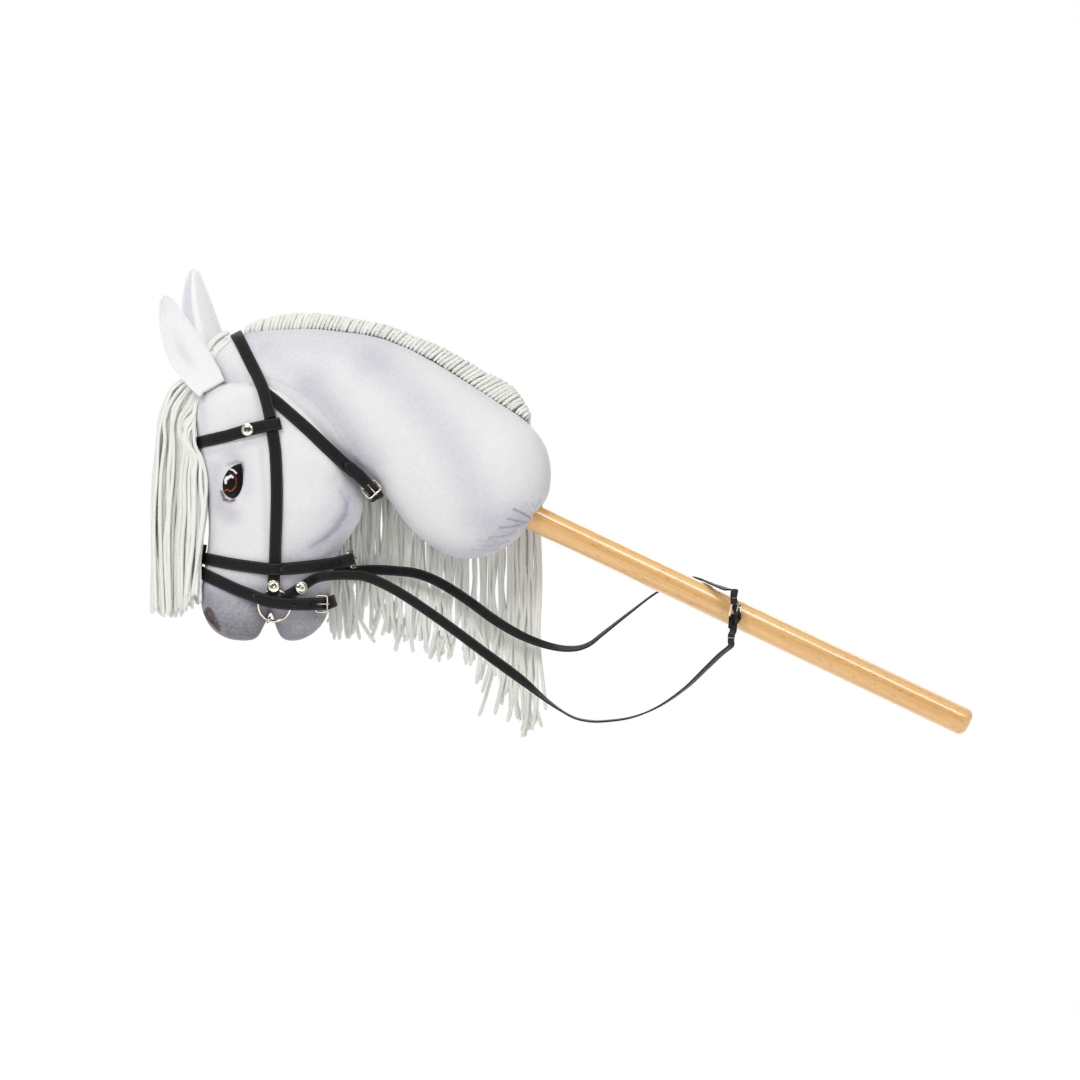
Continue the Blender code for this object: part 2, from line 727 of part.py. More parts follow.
def point_share(distance):
    """How wide a pointed strap end is, this far from its tip."""
    if distance >= POINT_LENGTH:
        return 1
    return 0.2 + 0.8 * math.sin(math.radians(90) * distance / POINT_LENGTH)


def with_point(path):
    """Put the close sections that shape a pointed end at the end of a path."""
    line = np.array(path)
    travelled = np.concatenate([[0], np.cumsum(np.linalg.norm(np.diff(line, axis=0), axis=1))])
    tip = travelled[-1]
    keep = [tuple(p) for p, s in zip(line, travelled) if s < tip - POINT_LENGTH - 0.5 * MM]
    for share in (1, 0.65, 0.35, 0.12, 0):
        s = tip - share * POINT_LENGTH
        keep.append((np.interp(s, travelled, line[:, 0]), np.interp(s, travelled, line[:, 1])))
    return keep


# Levels of the leather round a buckle's heel bar
TURN_RADIUS = BUCKLE_WIRE + SEAT_GAP + STRAP_THICKNESS / 2
HEEL_HEIGHT = layer(1) + TURN_RADIUS
OVER_HEEL = HEEL_HEIGHT + TURN_RADIUS + STRAP_THICKNESS + 1.0 * MM
UNDER_NOSE = layer(1) + 1.2 * MM
NOSE_HEIGHT = UNDER_NOSE + STRAP_THICKNESS / 2 + BUCKLE_WIRE + 2.5 * SEAT_GAP
HEEL_TO_NOSE = BUCKLE_LENGTH - 2 * BUCKLE_WIRE
PRONG_LOOP = BUCKLE_WIRE + 0.25 * MM + PRONG_WIRE


def folded_end(heel):
    """The strap's fixed end: back under itself, round the heel bar, and away over its return."""
    under = [(heel + FOLD_LENGTH, layer(1)), (heel + FOLD_LENGTH / 2, layer(1)),
             (heel + 1 * MM, layer(1))]
    turn = bend(heel, HEEL_HEIGHT, TURN_RADIUS, -90, -180, 7)
    return under + turn


def over_fold(heel):
    """Height of the fixed strap above its own return, by distance from the heel bar."""
    over = layer(2) + SEAT_GAP
    return eased([(heel, HEEL_HEIGHT + TURN_RADIUS), (heel + 5 * MM, over),
                  (heel + FOLD_LENGTH + 1.5 * MM, over), (heel + FOLD_LENGTH + 7 * MM, layer(1))])


def billet_height(heel):
    """Height of the billet as it passes under the nose bar and over the heel bar."""
    nose = heel - HEEL_TO_NOSE
    clear = 0.8 * MM
    return eased([(nose - 9 * MM, layer(1)), (nose - 2 * MM, UNDER_NOSE),
                  (heel - 0.5 * MM, OVER_HEEL), (heel + 1.5 * MM, OVER_HEEL),
                  (heel + 7 * MM, layer(3) + clear), (heel + FOLD_LENGTH + 2 * MM, layer(3) + clear),
                  (heel + FOLD_LENGTH + 9 * MM, layer(2) + clear)])


def buckle(prefix, track, heel, fixed, billet):
    """Frame and prong of a buckle; the prong's slot is cut in the fold and in the billet."""
    nose = heel - HEEL_TO_NOSE
    lift = track.rise(heel)
    heel_point = track.place(heel, 0, HEEL_HEIGHT + lift)
    nose_point = track.place(nose, 0, NOSE_HEIGHT + lift)
    _, across, out = track.axes(heel, HEEL_HEIGHT)
    along = (heel_point - nose_point)
    length = along.length
    along.normalize()
    across = (across - across.dot(along) * along).normalized()
    out = (out - out.dot(along) * along).normalized()
    if along.cross(across).dot(out) < 0:
        across = -across
    place = frame_matrix(heel_point, along, across, out)
    half = BUCKLE_WIDTH / 2 - BUCKLE_WIRE
    corner = BUCKLE_CORNER
    points = []
    corners = ((-corner, half - corner, 0), (-length + corner, half - corner, 90),
               (-length + corner, -half + corner, 180), (-corner, -half + corner, 270))
    for x, y, first in corners:
        for i in range(4):
            angle = math.radians(first + 30 * i)
            points.append(place @ Vector((x + corner * math.cos(angle),
                                          y + corner * math.sin(angle), 0)))
    wire(prefix + "_buckle", points, BUCKLE_WIRE, NICKEL, closed=True, resolution=1)
    # The prong: an eye about the heel bar, then straight to rest on the nose bar
    tip = place.inverted() @ nose_point
    rest = tip.z + BUCKLE_WIRE + SEAT_GAP + PRONG_WIRE
    loop = [(PRONG_LOOP * math.cos(math.radians(a)), PRONG_LOOP * math.sin(math.radians(a)))
            for a in range(-160, 91, 25)]
    line = [(x, z) for x, z in loop]
    line += [(-length * 0.5, (PRONG_LOOP + rest) / 2 + 0.1 * MM), (-length, rest),
             (-length - 1.6 * MM, rest - 0.1 * MM)]
    wire(prefix + "_prong", [place @ Vector((x, 0, z)) for x, z in line], PRONG_WIRE, NICKEL,
         origin=heel_point, resolution=1)
    slot_width = 2 * PRONG_WIRE + 1.2 * MM
    reach = TURN_RADIUS + STRAP_THICKNESS / 2 + 0.25 * MM
    eye_slot = pin_cutter(prefix + "_eye_slot", place @ Matrix.Rotation(math.radians(90), 4, "X"),
                          reach, slot_width, 24)
    cut(fixed, eye_slot)
    back = 4.4 * MM
    back_slot = box_cutter(prefix + "_back_slot", place @ Matrix.Translation((back / 2, 0, 0)),
                           (back, slot_width, 2 * reach))
    cut(fixed, back_slot)
    # The billet's slot lets the prong through and lets it swing up
    billet_slot = box_cutter(prefix + "_billet_slot",
                             place @ Matrix.Translation((-3.7 * MM, 0, 5.4 * MM)),
                             (9.4 * MM, slot_width, 8.5 * MM))
    cut(billet, billet_slot)
    return place


def punch_holes(name, track, piece, first, count, heights):
    """A row of round holes through a strap."""
    for i in range(count):
        u = first + i * HOLE_PITCH
        place = track.frame(u, heights(u) + track.rise(u))
        cut(piece, pin_cutter("%s_hole_%d" % (name, i + 1), place, HOLE_RADIUS,
                              1.6 * STRAP_THICKNESS, 10))


def press_stud(name, place, pieces, depth):
    """A domed cap whose post passes through the leather; its placement is on the outer face."""
    base = STUD_SEAT
    rim = 0.5 * MM
    profile = [(0, base + STUD_HEIGHT)]
    for i in range(1, 4):
        angle = math.radians(90 - 30 * i)
        profile.append((STUD_RADIUS * 0.86 * math.cos(angle),
                        base + rim + (STUD_HEIGHT - rim) * math.sin(angle)))
    profile += [(STUD_RADIUS, base + rim), (STUD_RADIUS, base), (STUD_POST_RADIUS, base),
                (STUD_POST_RADIUS, base - depth), (0, base - depth)]
    turned(name, profile, 16, place, NICKEL)
    room = pin_cutter(name + "_room", place, STUD_POST_RADIUS + SEAT_GAP, 2 * depth + 2 * MM, 16)
    for piece in pieces:
        cut(piece, room)


def stick():
    """The dowel: a chamfered top inside the neck and a rounded foot with a small flat."""
    axis = Vector((math.cos(STICK_SLOPE), 0, -math.sin(STICK_SLOPE)))
    up = -axis
    side = Vector((0, 1, 0))
    place = frame_matrix(Vector((0, 0, 0)), side.cross(up), side, up)
    profile = [(0, STICK_TO_TOP), (STICK_RADIUS - STICK_TOP_CHAMFER, STICK_TO_TOP),
               (STICK_RADIUS, STICK_TO_TOP - STICK_TOP_CHAMFER)]
    for i in range(7):
        angle = math.radians(15 * i)
        profile.append((STICK_RADIUS - STICK_FOOT_ROUND * (1 - math.cos(angle)),
                        -STICK_TO_FOOT + STICK_FOOT_ROUND * (1 - math.sin(angle))))
    profile.append((0, -STICK_TO_FOOT))
    thing = turned("stick", profile, 40, place, WOOD)
    bore_middle = (STICK_TO_TOP + 2 * MM) / 2
    bore = pin_cutter("stick_bore", place @ Matrix.Translation((0, 0, bore_middle)),
                      STICK_RADIUS + STICK_BORE_GAP, STICK_TO_TOP + 2 * MM, 40)
    return thing, bore


def ear(name, side, foot, lean, cutters):
    """A folded leaf: a curved shell, hollow to the outside, that is cut to sit on the head."""
    rows, columns = 7, 4
    total = EAR_LENGTH + EAR_BURIED
    turn = Matrix.Rotation(-lean, 4, "Y")
    splay = Matrix.Rotation(-side * EAR_SPLAY, 4, "X")
    place = Matrix.Translation((foot[0], side * EAR_SPREAD, foot[1])) @ turn @ splay
    build = bmesh.new()
    grids = []
    for face in (0, 1):
        grid = []
        for i in range(rows + 1):
            share = i / rows
            height = -EAR_BURIED + total * share
            swell = max(0.0, 1 - abs((share - 0.42) / 0.6) ** 2.3)
            half = EAR_WIDTH / 2 * (0.10 + 0.90 * swell ** 0.75)
            spread = math.radians(62 - 30 * share)
            radius = half / math.sin(spread)
            row = []
            for j in range(columns + 1):
                v = -1 + 2 * j / columns
                angle = v * spread
                thick = EAR_THICKNESS * (1 - 0.75 * abs(v) ** 3) * (0.6 + 0.4 * math.sin(
                    math.pi * min(share + 0.25, 1)))
                bulge = radius + (thick / 2 if face else -thick / 2)
                x = bulge * math.sin(angle)
                y = -side * (bulge * math.cos(angle) - radius * math.cos(spread / 2))
                row.append(build.verts.new(place @ Vector((x, y, height))))
            grid.append(row)
        grids.append(grid)
    for grid in grids:
        for i in range(rows):
            for j in range(columns):
                build.faces.new((grid[i][j], grid[i][j + 1], grid[i + 1][j + 1], grid[i + 1][j]))
    front, back = grids
    rim = ([(0, j) for j in range(columns)] + [(i, columns) for i in range(rows)]
           + [(rows, j) for j in range(columns, 0, -1)] + [(i, 0) for i in range(rows, 0, -1)])
    for (i1, j1), (i2, j2) in zip(rim, rim[1:] + rim[:1]):
        build.faces.new((front[i1][j1], front[i2][j2], back[i2][j2], back[i1][j1]))
    thing = mesh_object(name, build, CLOTH)
    smoother = thing.modifiers.new("soft", "SUBSURF")
    smoother.levels = 1
    smoother.render_levels = 1
    for cutter in cutters:
        cut(thing, cutter)
    settle(thing)
    return thing


def eye(name, side, head_surface):
    """A domed almond patch on the cheek."""
    build = bmesh.new()
    shares = (1, 0.72, 0.4)

    def lie(x, z, out):
        hit = head_surface.ray_cast(Vector((x, -1, z)), Vector((0, 1, 0)))
        return Vector((x, side * (-hit[0].y + out), z))

    centre_x, centre_z = EYE_CENTRE
    sheets = []
    for out in (0, 1):
        rings = []
        for share in shares:
            dome = EYE_SEAT + out * (0.5 * MM + EYE_DOME * (1 - share * share))
            rings.append([build.verts.new(lie(
                (centre_x + (x - centre_x) * share) * MM, (centre_z + (z - centre_z) * share) * MM,
                dome)) for x, z in EYE_OUTLINE])
        middle = build.verts.new(lie(centre_x * MM, centre_z * MM,
                                     EYE_SEAT + out * (0.5 * MM + EYE_DOME)))
        sheets.append((rings, middle))
    count = len(EYE_OUTLINE)
    for rings, middle in sheets:
        for i in range(count):
            j = (i + 1) % count
            for one, two in zip(rings, rings[1:]):
                build.faces.new((one[i], one[j], two[j], two[i]))
            build.faces.new((rings[-1][i], rings[-1][j], middle))
    for i in range(count):
        j = (i + 1) % count
        build.faces.new((sheets[0][0][0][i], sheets[0][0][0][j], sheets[1][0][0][j],
                         sheets[1][0][0][i]))
    return mesh_object(name, build, PRINTED_EYE)


def seated_ring(side, body, cheek):
    """Where the bit ring's centre lies: flat against the muzzle, with room for a strap behind it."""
    x, z = RING_CENTRE
    up = Vector((0, -math.sin(RING_LEAN), math.cos(RING_LEAN)))
    room = STRAP_THICKNESS + 3 * SEAT_GAP + STRAP_LIFT
    furthest = 0
    for i in range(36):
        angle = math.radians(10 * i)
        offset = Vector((1, 0, 0)) * RING_RADIUS * math.cos(angle) + (
            up * RING_RADIUS * math.sin(angle))
        hit = body.ray_cast(Vector((x + offset.x, -1, z + offset.z)), Vector((0, 1, 0)))
        if hit[0] is not None:
            out = -hit[0].y + (room + RING_WIRE) / math.cos(RING_LEAN) + offset.y
            furthest = max(furthest, out)
    centre = Vector((x, -furthest, z))
    needed = layer(1) + TURN_AT_RING + SEAT_GAP
    for _ in range(40):
        top = centre + up * RING_RADIUS
        u = cheek.find_height(top.z)
        surface = cheek.place(u)
        _, _, out = cheek.axes(u)
        if (top - surface).dot(out) >= needed:
            break
        centre.y -= 0.1 * MM
    return Vector((centre.x, side * -centre.y, centre.z)), Vector((0, side * -up.y, up.z))


TURN_AT_RING = RING_WIRE + 3 * SEAT_GAP + STRAP_THICKNESS / 2
RING_SAG = RING_RADIUS - math.sqrt(RING_RADIUS ** 2 - (STRAP_WIDTH / 2 + 1.5 * MM) ** 2) + SEAT_GAP


def ring_piece(name, centre, up):
    """A closed round ring, its origin on the axis it turns about."""
    bpy.ops.mesh.primitive_torus_add(major_segments=32, minor_segments=8,
                                     major_radius=RING_RADIUS, minor_radius=RING_WIRE)
    thing = bpy.context.object
    thing.name = name
    thing.data.name = name
    for group in list(thing.users_collection):
        group.objects.unlink(thing)
    PARTS.objects.link(thing)
    across = Vector((1, 0, 0))
    thing.matrix_world = frame_matrix(centre, across, up, across.cross(up))
    thing.data.shade_smooth()
    thing.data.materials.append(material(name + "_finish", *NICKEL))
    return thing


KEEPER_WIDTH = 8 * MM
KEEPER_TOP = 4 * MM
KEEPER_BOTTOM = -29 * MM
MANE_START = -351 * MM
FALL_START = -343 * MM
MANE_END = -66 * MM
FALL_DROP = 5 * MM
FALL_RAGGED = 14 * MM
FALL_CLEARANCE = 2.5 * MM
MANE_HEM = [(-343, 193), (-328, 160), (-318, 143), (-308, 105), (-292, 30),
            (-268, -60), (-230, -75), (-190, -95), (-150, -105), (-125, -110), (-108, -145),
            (-85, -182), (-66, -172)]
TUFT_LINE = [(-402, 0, 166), (-397, 0, 183), (-388, 0, 203), (-375, 0, 214), (-371, 0, 216)]
# The reins hang free: points in mm along each, and which way its width lies along its length
LEFT_REIN = [
    (-281, -43.5, -28), (-266, -42.5, -26), (-250, -41, -26), (-232, -39.5, -28.5),
    (-202, -37, -43), (-161, -34, -70.5), (-117, -31, -103), (-79, -29, -131),
    (-52, -28, -153), (-30, -27, -167), (-14, -26.5, -171.5), (3, -26, -172),
    (31, -25, -168), (58, -24.5, -157), (84, -24, -139), (104, -24, -120), (118.5, -24, -106),
]
RIGHT_REIN = [
    (-281, 43.5, -27.5), (-266, 42.5, -24), (-250, 41.5, -22), (-227, 40, -21), (-205, 38, -22),
    (-183, 37, -25), (-161, 35, -34), (-134, 33, -51), (-106.5, 31, -71), (-79, 29, -87),
    (-52, 28, -97), (-30, 27, -100), (-13, 26, -96), (3, 26, -84), (31, 25.5, -62),
    (56, 24.5, -43.5), (79, 21.5, -32.5), (94, 14.5, -29.5), (104, 5, -31.8), (110.5, -4.5, -34.8),
    (118, -14, -37.5), (126, -20.5, -40.5),
]
LEFT_REIN_FACING = [(0.1, (0, 0, 1)), (0.45, (0, 0, 1)), (0.6, (0, 1, 0.1)), (0.85, (0.4, 0.8, 0.1))]
RIGHT_REIN_FACING = [(0.1, (0, 0, 1)), (0.4, (0, 0.2, 1)), (0.6, (0, 1, 0.5)),
                     (0.8, (0.3, 1, 0.2)), (0.9, (1, 0, -0.4)), (0.97, (0.8, 0.6, 0))]
BUCKLE_OF_THROAT = 37 * MM
BUCKLE_OF_NOSEBAND = 25 * MM
BUCKLE_OF_FLASH = -286.5 * MM
NOSEBAND_SLACK = 12 * MM
NOSEBAND_SLACK_HALF = 28 * MM
THROAT_SLACK = 17 * MM
THROAT_SLACK_HALF = 26 * MM
FLASH_SLACK = 3 * MM
FLASH_SLACK_HALF = 20 * MM
TAIL_OF_THROAT = 33 * MM
TAIL_OF_NOSEBAND = -321 * MM
TAIL_OF_FLASH = -347 * MM

HEADPIECE_END = 130.5 * MM
CHEEK_TOP = 134.5 * MM
CHEEK_RETURN = -27.5 * MM
STUD_ABOVE_RING = 4.93 * MM
CHEEK_STUD = RING_CENTRE[1] + RING_RADIUS * math.cos(RING_LEAN) + STUD_ABOVE_RING
BROW_FOLD = -322.5 * MM
BROW_RETURN = -361 * MM
BROW_STUD = -352 * MM

REIN_LOOP_END = (-295 * MM, -35 * MM)
REIN_STUD_SHARE = 0.72

CENTRE_TOP = (131 * MM, -24 * MM, -49 * MM)
CENTRE_BOTTOM = (128.7 * MM, -24 * MM, -88.5 * MM)
CENTRE_ACROSS = (0.6, 0.8, 0)
CENTRE_HEEL = 18.5 * MM
CENTRE_TAIL = 8.5 * MM


def seat(track, height, u, reach=STUD_RADIUS):
    """A placement on a strap's outer face, clear of every point of it that a round cap covers."""
    low = track.place(u - reach, 0, height(u - reach))
    high = track.place(u + reach, 0, height(u + reach))
    along = (high - low).normalized()
    _, across, out = track.axes(u)
    across = (across - across.dot(along) * along).normalized()
    if along.cross(across).dot(out) < 0:
        across = -across
    out = along.cross(across)
    middle = track.place(u, 0, height(u))
    tallest = 0
    for step in np.linspace(-reach, reach, 9):
        for t in np.linspace(-track.width / 2, track.width / 2, 5):
            point = track.place(u + step, t, height(u + step))
            tallest = max(tallest, (point - middle).dot(out))
    return frame_matrix(middle + out * (tallest + STRAP_THICKNESS / 2), along, across, out)


def stud_on(name, track, height, u, piece):
    """Seat a press stud on a strap, its post reaching down through all the leather below."""
    place = seat(track, height, u)
    depth = (place.translation - track.place(u)).length - POST_CLEARANCE
    press_stud(name, place, [piece], depth)


def ring_point(centre, up, angle, radius=RING_RADIUS):
    """A point on the bit ring's wire."""
    return centre + Vector((1, 0, 0)) * radius * math.cos(angle) + up * radius * math.sin(angle)


def cheekpiece(name, side, track, centre, up):
    """From under the headpiece, down past the browband, round the ring and back inside."""
    top = ring_point(centre, up, math.radians(90))
    flat_top = Vector((top.x, -abs(top.y), top.z))
    ring_u = track.find_height(top.z)
    for _ in range(4):
        along, _, out = track.axes(ring_u)
        ring_u += (flat_top - track.place(ring_u)).dot(along)
    ring_d = (flat_top - track.place(ring_u)).dot(out)
    start = track.find_height(CHEEK_TOP)
    back = track.find_height(CHEEK_RETURN)
    turn_u = ring_u + RING_SAG
    outer = eased([(back - 5 * MM, layer(1)), (back, layer(2))])
    climbed = ring_u - 2.5 * MM
    climb = (ring_d + TURN_AT_RING - layer(2)) / (climbed - back)

    def height(u):
        if abs(u) > back:
            return layer(2) + climb * (min(abs(u), climbed) - back)
        return outer(abs(u)) + track.rise(abs(u))

    path = run(track, start, turn_u, height, lifted=False)
    path += bend(turn_u, ring_d, TURN_AT_RING, 90, -180, 7)
    path += run(track, turn_u - 1 * MM, back, eased([(back + 3 * MM, layer(1)),
                                                     (turn_u, ring_d - TURN_AT_RING)]),
                lifted=False)
    piece = strap(name, track, [(u * -side, d) for u, d in path])
    stud_on(name.replace("piece", "_stud"), track, height,
            track.find_height(CHEEK_STUD) * -side, piece)
    return piece


def browband_returns(track):
    """The folded-back ends of the browband, under the cheekpieces, to learn what lies on them."""
    fold = track.find(BROW_FOLD)
    inner = track.find(BROW_RETURN)
    made = []
    for side in (-1, 1):
        path = run(track, inner * side, fold * side, lambda u: layer(1), lifted=False)
        made.append(strap("browband_return_%d" % (side + 2), track, path, finish=None))
    return made


def browband(track):
    """Across the forehead, folded round both cheekpieces and held by a press stud each side."""
    fold = track.find(BROW_FOLD)
    inner = track.find(BROW_RETURN)
    stud_u = track.find(BROW_STUD)

    def height(u):
        return layer(1) + track.rise(u)

    def level(u):
        return layer(1)

    radius = (height(fold) - layer(1)) / 2
    far_radius = (height(-fold) - layer(1)) / 2
    path = run(track, inner, fold, level, lifted=False)
    path += bend(fold, layer(1) + radius, radius, -90, 180, 6)
    path += run(track, fold, -fold, height, lifted=False)
    path += bend(-fold, layer(1) + far_radius, far_radius, 90, 180, 6)
    path += run(track, -fold, -inner, level, lifted=False)
    piece = strap("browband", track, path)
    for side, word in ((-1, "left"), (1, "right")):
        stud_on("browband_stud_" + word, track, height, stud_u * -side, piece)
    return piece


def buckled_band(prefix, name, track, heel, tail_end, holes):
    """A band right round the head: folded about its buckle, and back through it as the billet."""
    loop = 2 * track.length
    out_height = over_fold(heel)
    in_height = billet_height(heel)
    path = [(u, d + track.rise(u)) for u, d in folded_end(heel)]
    path += run(track, heel + 0.5 * MM, heel + 20 * MM, out_height)
    path += run(track, heel + 22 * MM, loop + heel - 22 * MM, lambda u: layer(1))
    path += run(track, loop + heel - 21 * MM, loop + tail_end, lambda u: in_height(u - loop))
    piece = strap(name, track, with_point(path), pointed=True)
    buckle(prefix, track, heel, piece, piece)
    punch_holes(prefix, track, piece, heel + 9 * MM, holes, in_height)
    return piece


def throatlatch(track):
    """Two straps: a short buckled one on the left and a long one from the right, through it."""
    heel = track.flatten(BUCKLE_OF_THROAT - 2.5 * MM, 9 * MM, 14 * MM) + 2.5 * MM
    end = track.length
    out_height = over_fold(heel)
    in_height = billet_height(heel)
    fixed_path = [(u, d + track.rise(u)) for u, d in folded_end(heel)]
    fixed_path += run(track, heel + 0.5 * MM, heel + 20 * MM, out_height)
    fixed_path += run(track, heel + 24 * MM, end, lambda u: layer(1))
    fixed = strap("throatlatch_left", track, fixed_path)
    path = run(track, -end, heel - 21 * MM, lambda u: layer(1))
    path += run(track, heel - 20 * MM, heel + TAIL_OF_THROAT, in_height)
    long = strap("throatlatch_right", track, with_point(path), pointed=True)
    buckle("throatlatch", track, heel, fixed, long)
    punch_holes("throatlatch", track, long, heel + 9 * MM, 1, in_height)
    return fixed, long


def rein_loop(name, side, centre, up, body):
    """The rein's end, round the ring and held by a press stud."""
    wire_point = ring_point(centre, up, REIN_ANGLE)
    tangent = Vector((1, 0, 0)) * -math.sin(REIN_ANGLE) + up * math.cos(REIN_ANGLE)
    x, z = REIN_LOOP_END
    hit = body.ray_cast(Vector((x, -1, z)), Vector((0, 1, 0)))
    far = Vector((x, side * (-hit[0].y + 4.5 * MM), z))
    along = (far - wire_point).normalized()
    normal = along.cross(tangent).normalized()
    if normal.y * side < 0:
        normal = -normal
    across = normal.cross(along).normalized()
    length = (far - wire_point).length
    track = straight_track(wire_point, along, across, length, REIN_WIDTH)
    if np.dot(track.normal[5], np.array(normal)) < 0:
        track = straight_track(wire_point, along, -across, length, REIN_WIDTH)
    skew = abs(across.dot(tangent))
    drift = REIN_WIDTH / 2 * math.sqrt(max(0, 1 - skew ** 2)) / skew
    turn_u = -drift - REIN_WIDTH ** 2 / 8 / RING_RADIUS - SEAT_GAP
    half = LAYER_STEP / 2
    join = drift + RING_WIRE + 1 * MM
    path = [(length - 1 * MM, -half), (join + 4 * MM, -half), (join, -TURN_AT_RING)]
    path += bend(turn_u, 0, TURN_AT_RING, -90, -180, 7)
    path += [(join, TURN_AT_RING), (join + 4 * MM, half), (length, half)]
    piece = strap(name, track, path, width=REIN_WIDTH)
    stud = seat(track, lambda u: half, length * REIN_STUD_SHARE)
    press_stud(name.replace("loop", "stud"), stud, [piece], LAYER_STEP + STRAP_THICKNESS)
    return piece, track, length, half


def nose_keeper(body, noseband, flash_strap):
    """A short upright strap on the nose that ties the noseband and the flash strap together."""
    rows = []
    for t in (-KEEPER_WIDTH / 2, 0, KEEPER_WIDTH / 2):
        row = []
        for z in np.linspace(KEEPER_TOP, KEEPER_BOTTOM, 40):
            hit = body.ray_cast(Vector((-1, t, z)), Vector((1, 0, 0)))
            row.append((hit[0].x, t, z))
        rows.append(np.array(row))
    track = Track(*rows, KEEPER_WIDTH)
    if track.normal[20, 0] > 0:
        track = Track(*rows[::-1], KEEPER_WIDTH)
    track.rise_over(noseband, flash_strap)
    strap("nose_keeper", track, run(track, 0, track.length, lambda u: layer(1)),
          width=KEEPER_WIDTH)


def mouthpiece_place():
    """Where the mouthpiece crosses the middle, in x and z."""
    return (RING_CENTRE[0] + RING_RADIUS * math.cos(MOUTHPIECE_ANGLE),
            RING_CENTRE[1] + RING_RADIUS * math.sin(MOUTHPIECE_ANGLE) * math.cos(RING_LEAN))


def mouth_groove():
    """Room for the mouthpiece between the lips."""
    x, z = mouthpiece_place()
    place = frame_matrix(Vector((x, 0, z)), Vector((0, 0, 1)), Vector((1, 0, 0)),
                         Vector((0, 1, 0)))
    return pin_cutter("mouth_groove", place, MOUTHPIECE_RADIUS + CUT_GAP, 120 * MM, 16)


def mouthpiece(ring_places):
    """The bar between the bit rings, with a round eye on each ring's wire."""
    side, centre, up = ring_places[0]
    wire_point = ring_point(centre, up, MOUTHPIECE_ANGLE)
    length = 2 * (abs(wire_point.y) - BIT_EYE_RADIUS)
    build = bmesh.new()
    bmesh.ops.create_cone(build, cap_ends=True, segments=16, radius1=MOUTHPIECE_RADIUS,
                          radius2=MOUTHPIECE_RADIUS, depth=length)
    bar = mesh_object("bit_mouthpiece", build, LEATHER)
    bar.matrix_world = frame_matrix(Vector((wire_point.x, 0, wire_point.z)), Vector((0, 0, 1)),
                                    Vector((1, 0, 0)), Vector((0, 1, 0)))
    for side, centre, up in ring_places:
        wire_point = ring_point(centre, up, MOUTHPIECE_ANGLE)
        tangent = (Vector((1, 0, 0)) * -math.sin(MOUTHPIECE_ANGLE)
                   + up * math.cos(MOUTHPIECE_ANGLE))
        sideways = Vector((0, 1, 0))
        sideways = (sideways - sideways.dot(tangent) * tangent).normalized()
        bpy.ops.mesh.primitive_torus_add(major_segments=16, minor_segments=6,
                                         major_radius=BIT_EYE_RADIUS, minor_radius=BIT_EYE_WIRE)
        loop = bpy.context.object
        loop.name = "bit_eye_%d" % (1 if side < 0 else 2)
        for group in list(loop.users_collection):
            group.objects.unlink(loop)
        CUTTERS.objects.link(loop)
        loop.hide_render = True
        loop.display_type = "WIRE"
        loop.matrix_world = frame_matrix(wire_point, sideways, tangent.cross(sideways), tangent)
        joined = bar.modifiers.new("eye", "BOOLEAN")
        joined.operation = "UNION"
        joined.solver = "EXACT"
        joined.object = loop
    return bar


def tube(name, line, half_widths, half_heights, finish, sides=8):
    """A closed yarn form along a line, round in section and closed to a point at each end."""
    build = bmesh.new()
    line = np.array(line)
    ahead = np.gradient(line, axis=0)
    ahead /= np.linalg.norm(ahead, axis=1)[:, None]
    rings = []
    for point, tangent, half, tall in zip(line, ahead, half_widths, half_heights):
        out = np.array((-tangent[2], 0, tangent[0]))
        rings.append([build.verts.new(Vector(
            point + np.array((0, 1, 0)) * half * math.cos(math.tau * k / sides)
            + out * tall * math.sin(math.tau * k / sides))) for k in range(sides)])
    for one, two in zip(rings, rings[1:]):
        for i in range(sides):
            j = (i + 1) % sides
            build.faces.new((one[i], one[j], two[j], two[i]))
    build.faces.new(rings[0])
    build.faces.new(rings[-1])
    return mesh_object(name, build, finish)


def crest_line(start, end, step):
    """Points along the top of the neck, between two places in x."""
    line = smooth_curve([(x * MM, z * MM) for x, z, _, _ in NECK_OUTLINE[3:17]], step)
    return np.array([(x, 0, z) for x, z in line if start <= x <= end])


def mane_crest():
    """The fringe of yarn loops that stands along the top of the neck."""
    line = crest_line(MANE_START, MANE_END, CREST_LOOP_PITCH / 3)
    share = np.linspace(0, 1, len(line))
    ends = np.minimum(1, 0.35 + np.minimum(share, 1 - share) * 16)
    wave = 0.9 + 0.1 * np.cos(np.arange(len(line)) * math.tau / 3)
    return tube("mane_crest", line, CREST_HALF_WIDTH * ends, CREST_HEIGHT * ends * wave, YARN,
                sides=6)


def poll_tuft():
    """The tuft of yarn that lies over the poll, between the ears."""
    line = smooth_curve([(x * MM, y * MM, z * MM) for x, y, z in TUFT_LINE], 5 * MM)
    share = np.linspace(0, 1, len(line))
    ends = np.sqrt(np.clip(1 - (2 * share - 1) ** 2, 0.08, 1))
    return tube("poll_tuft", line, TUFT_HALF_WIDTH * ends, TUFT_HEIGHT * ends, YARN, sides=10)


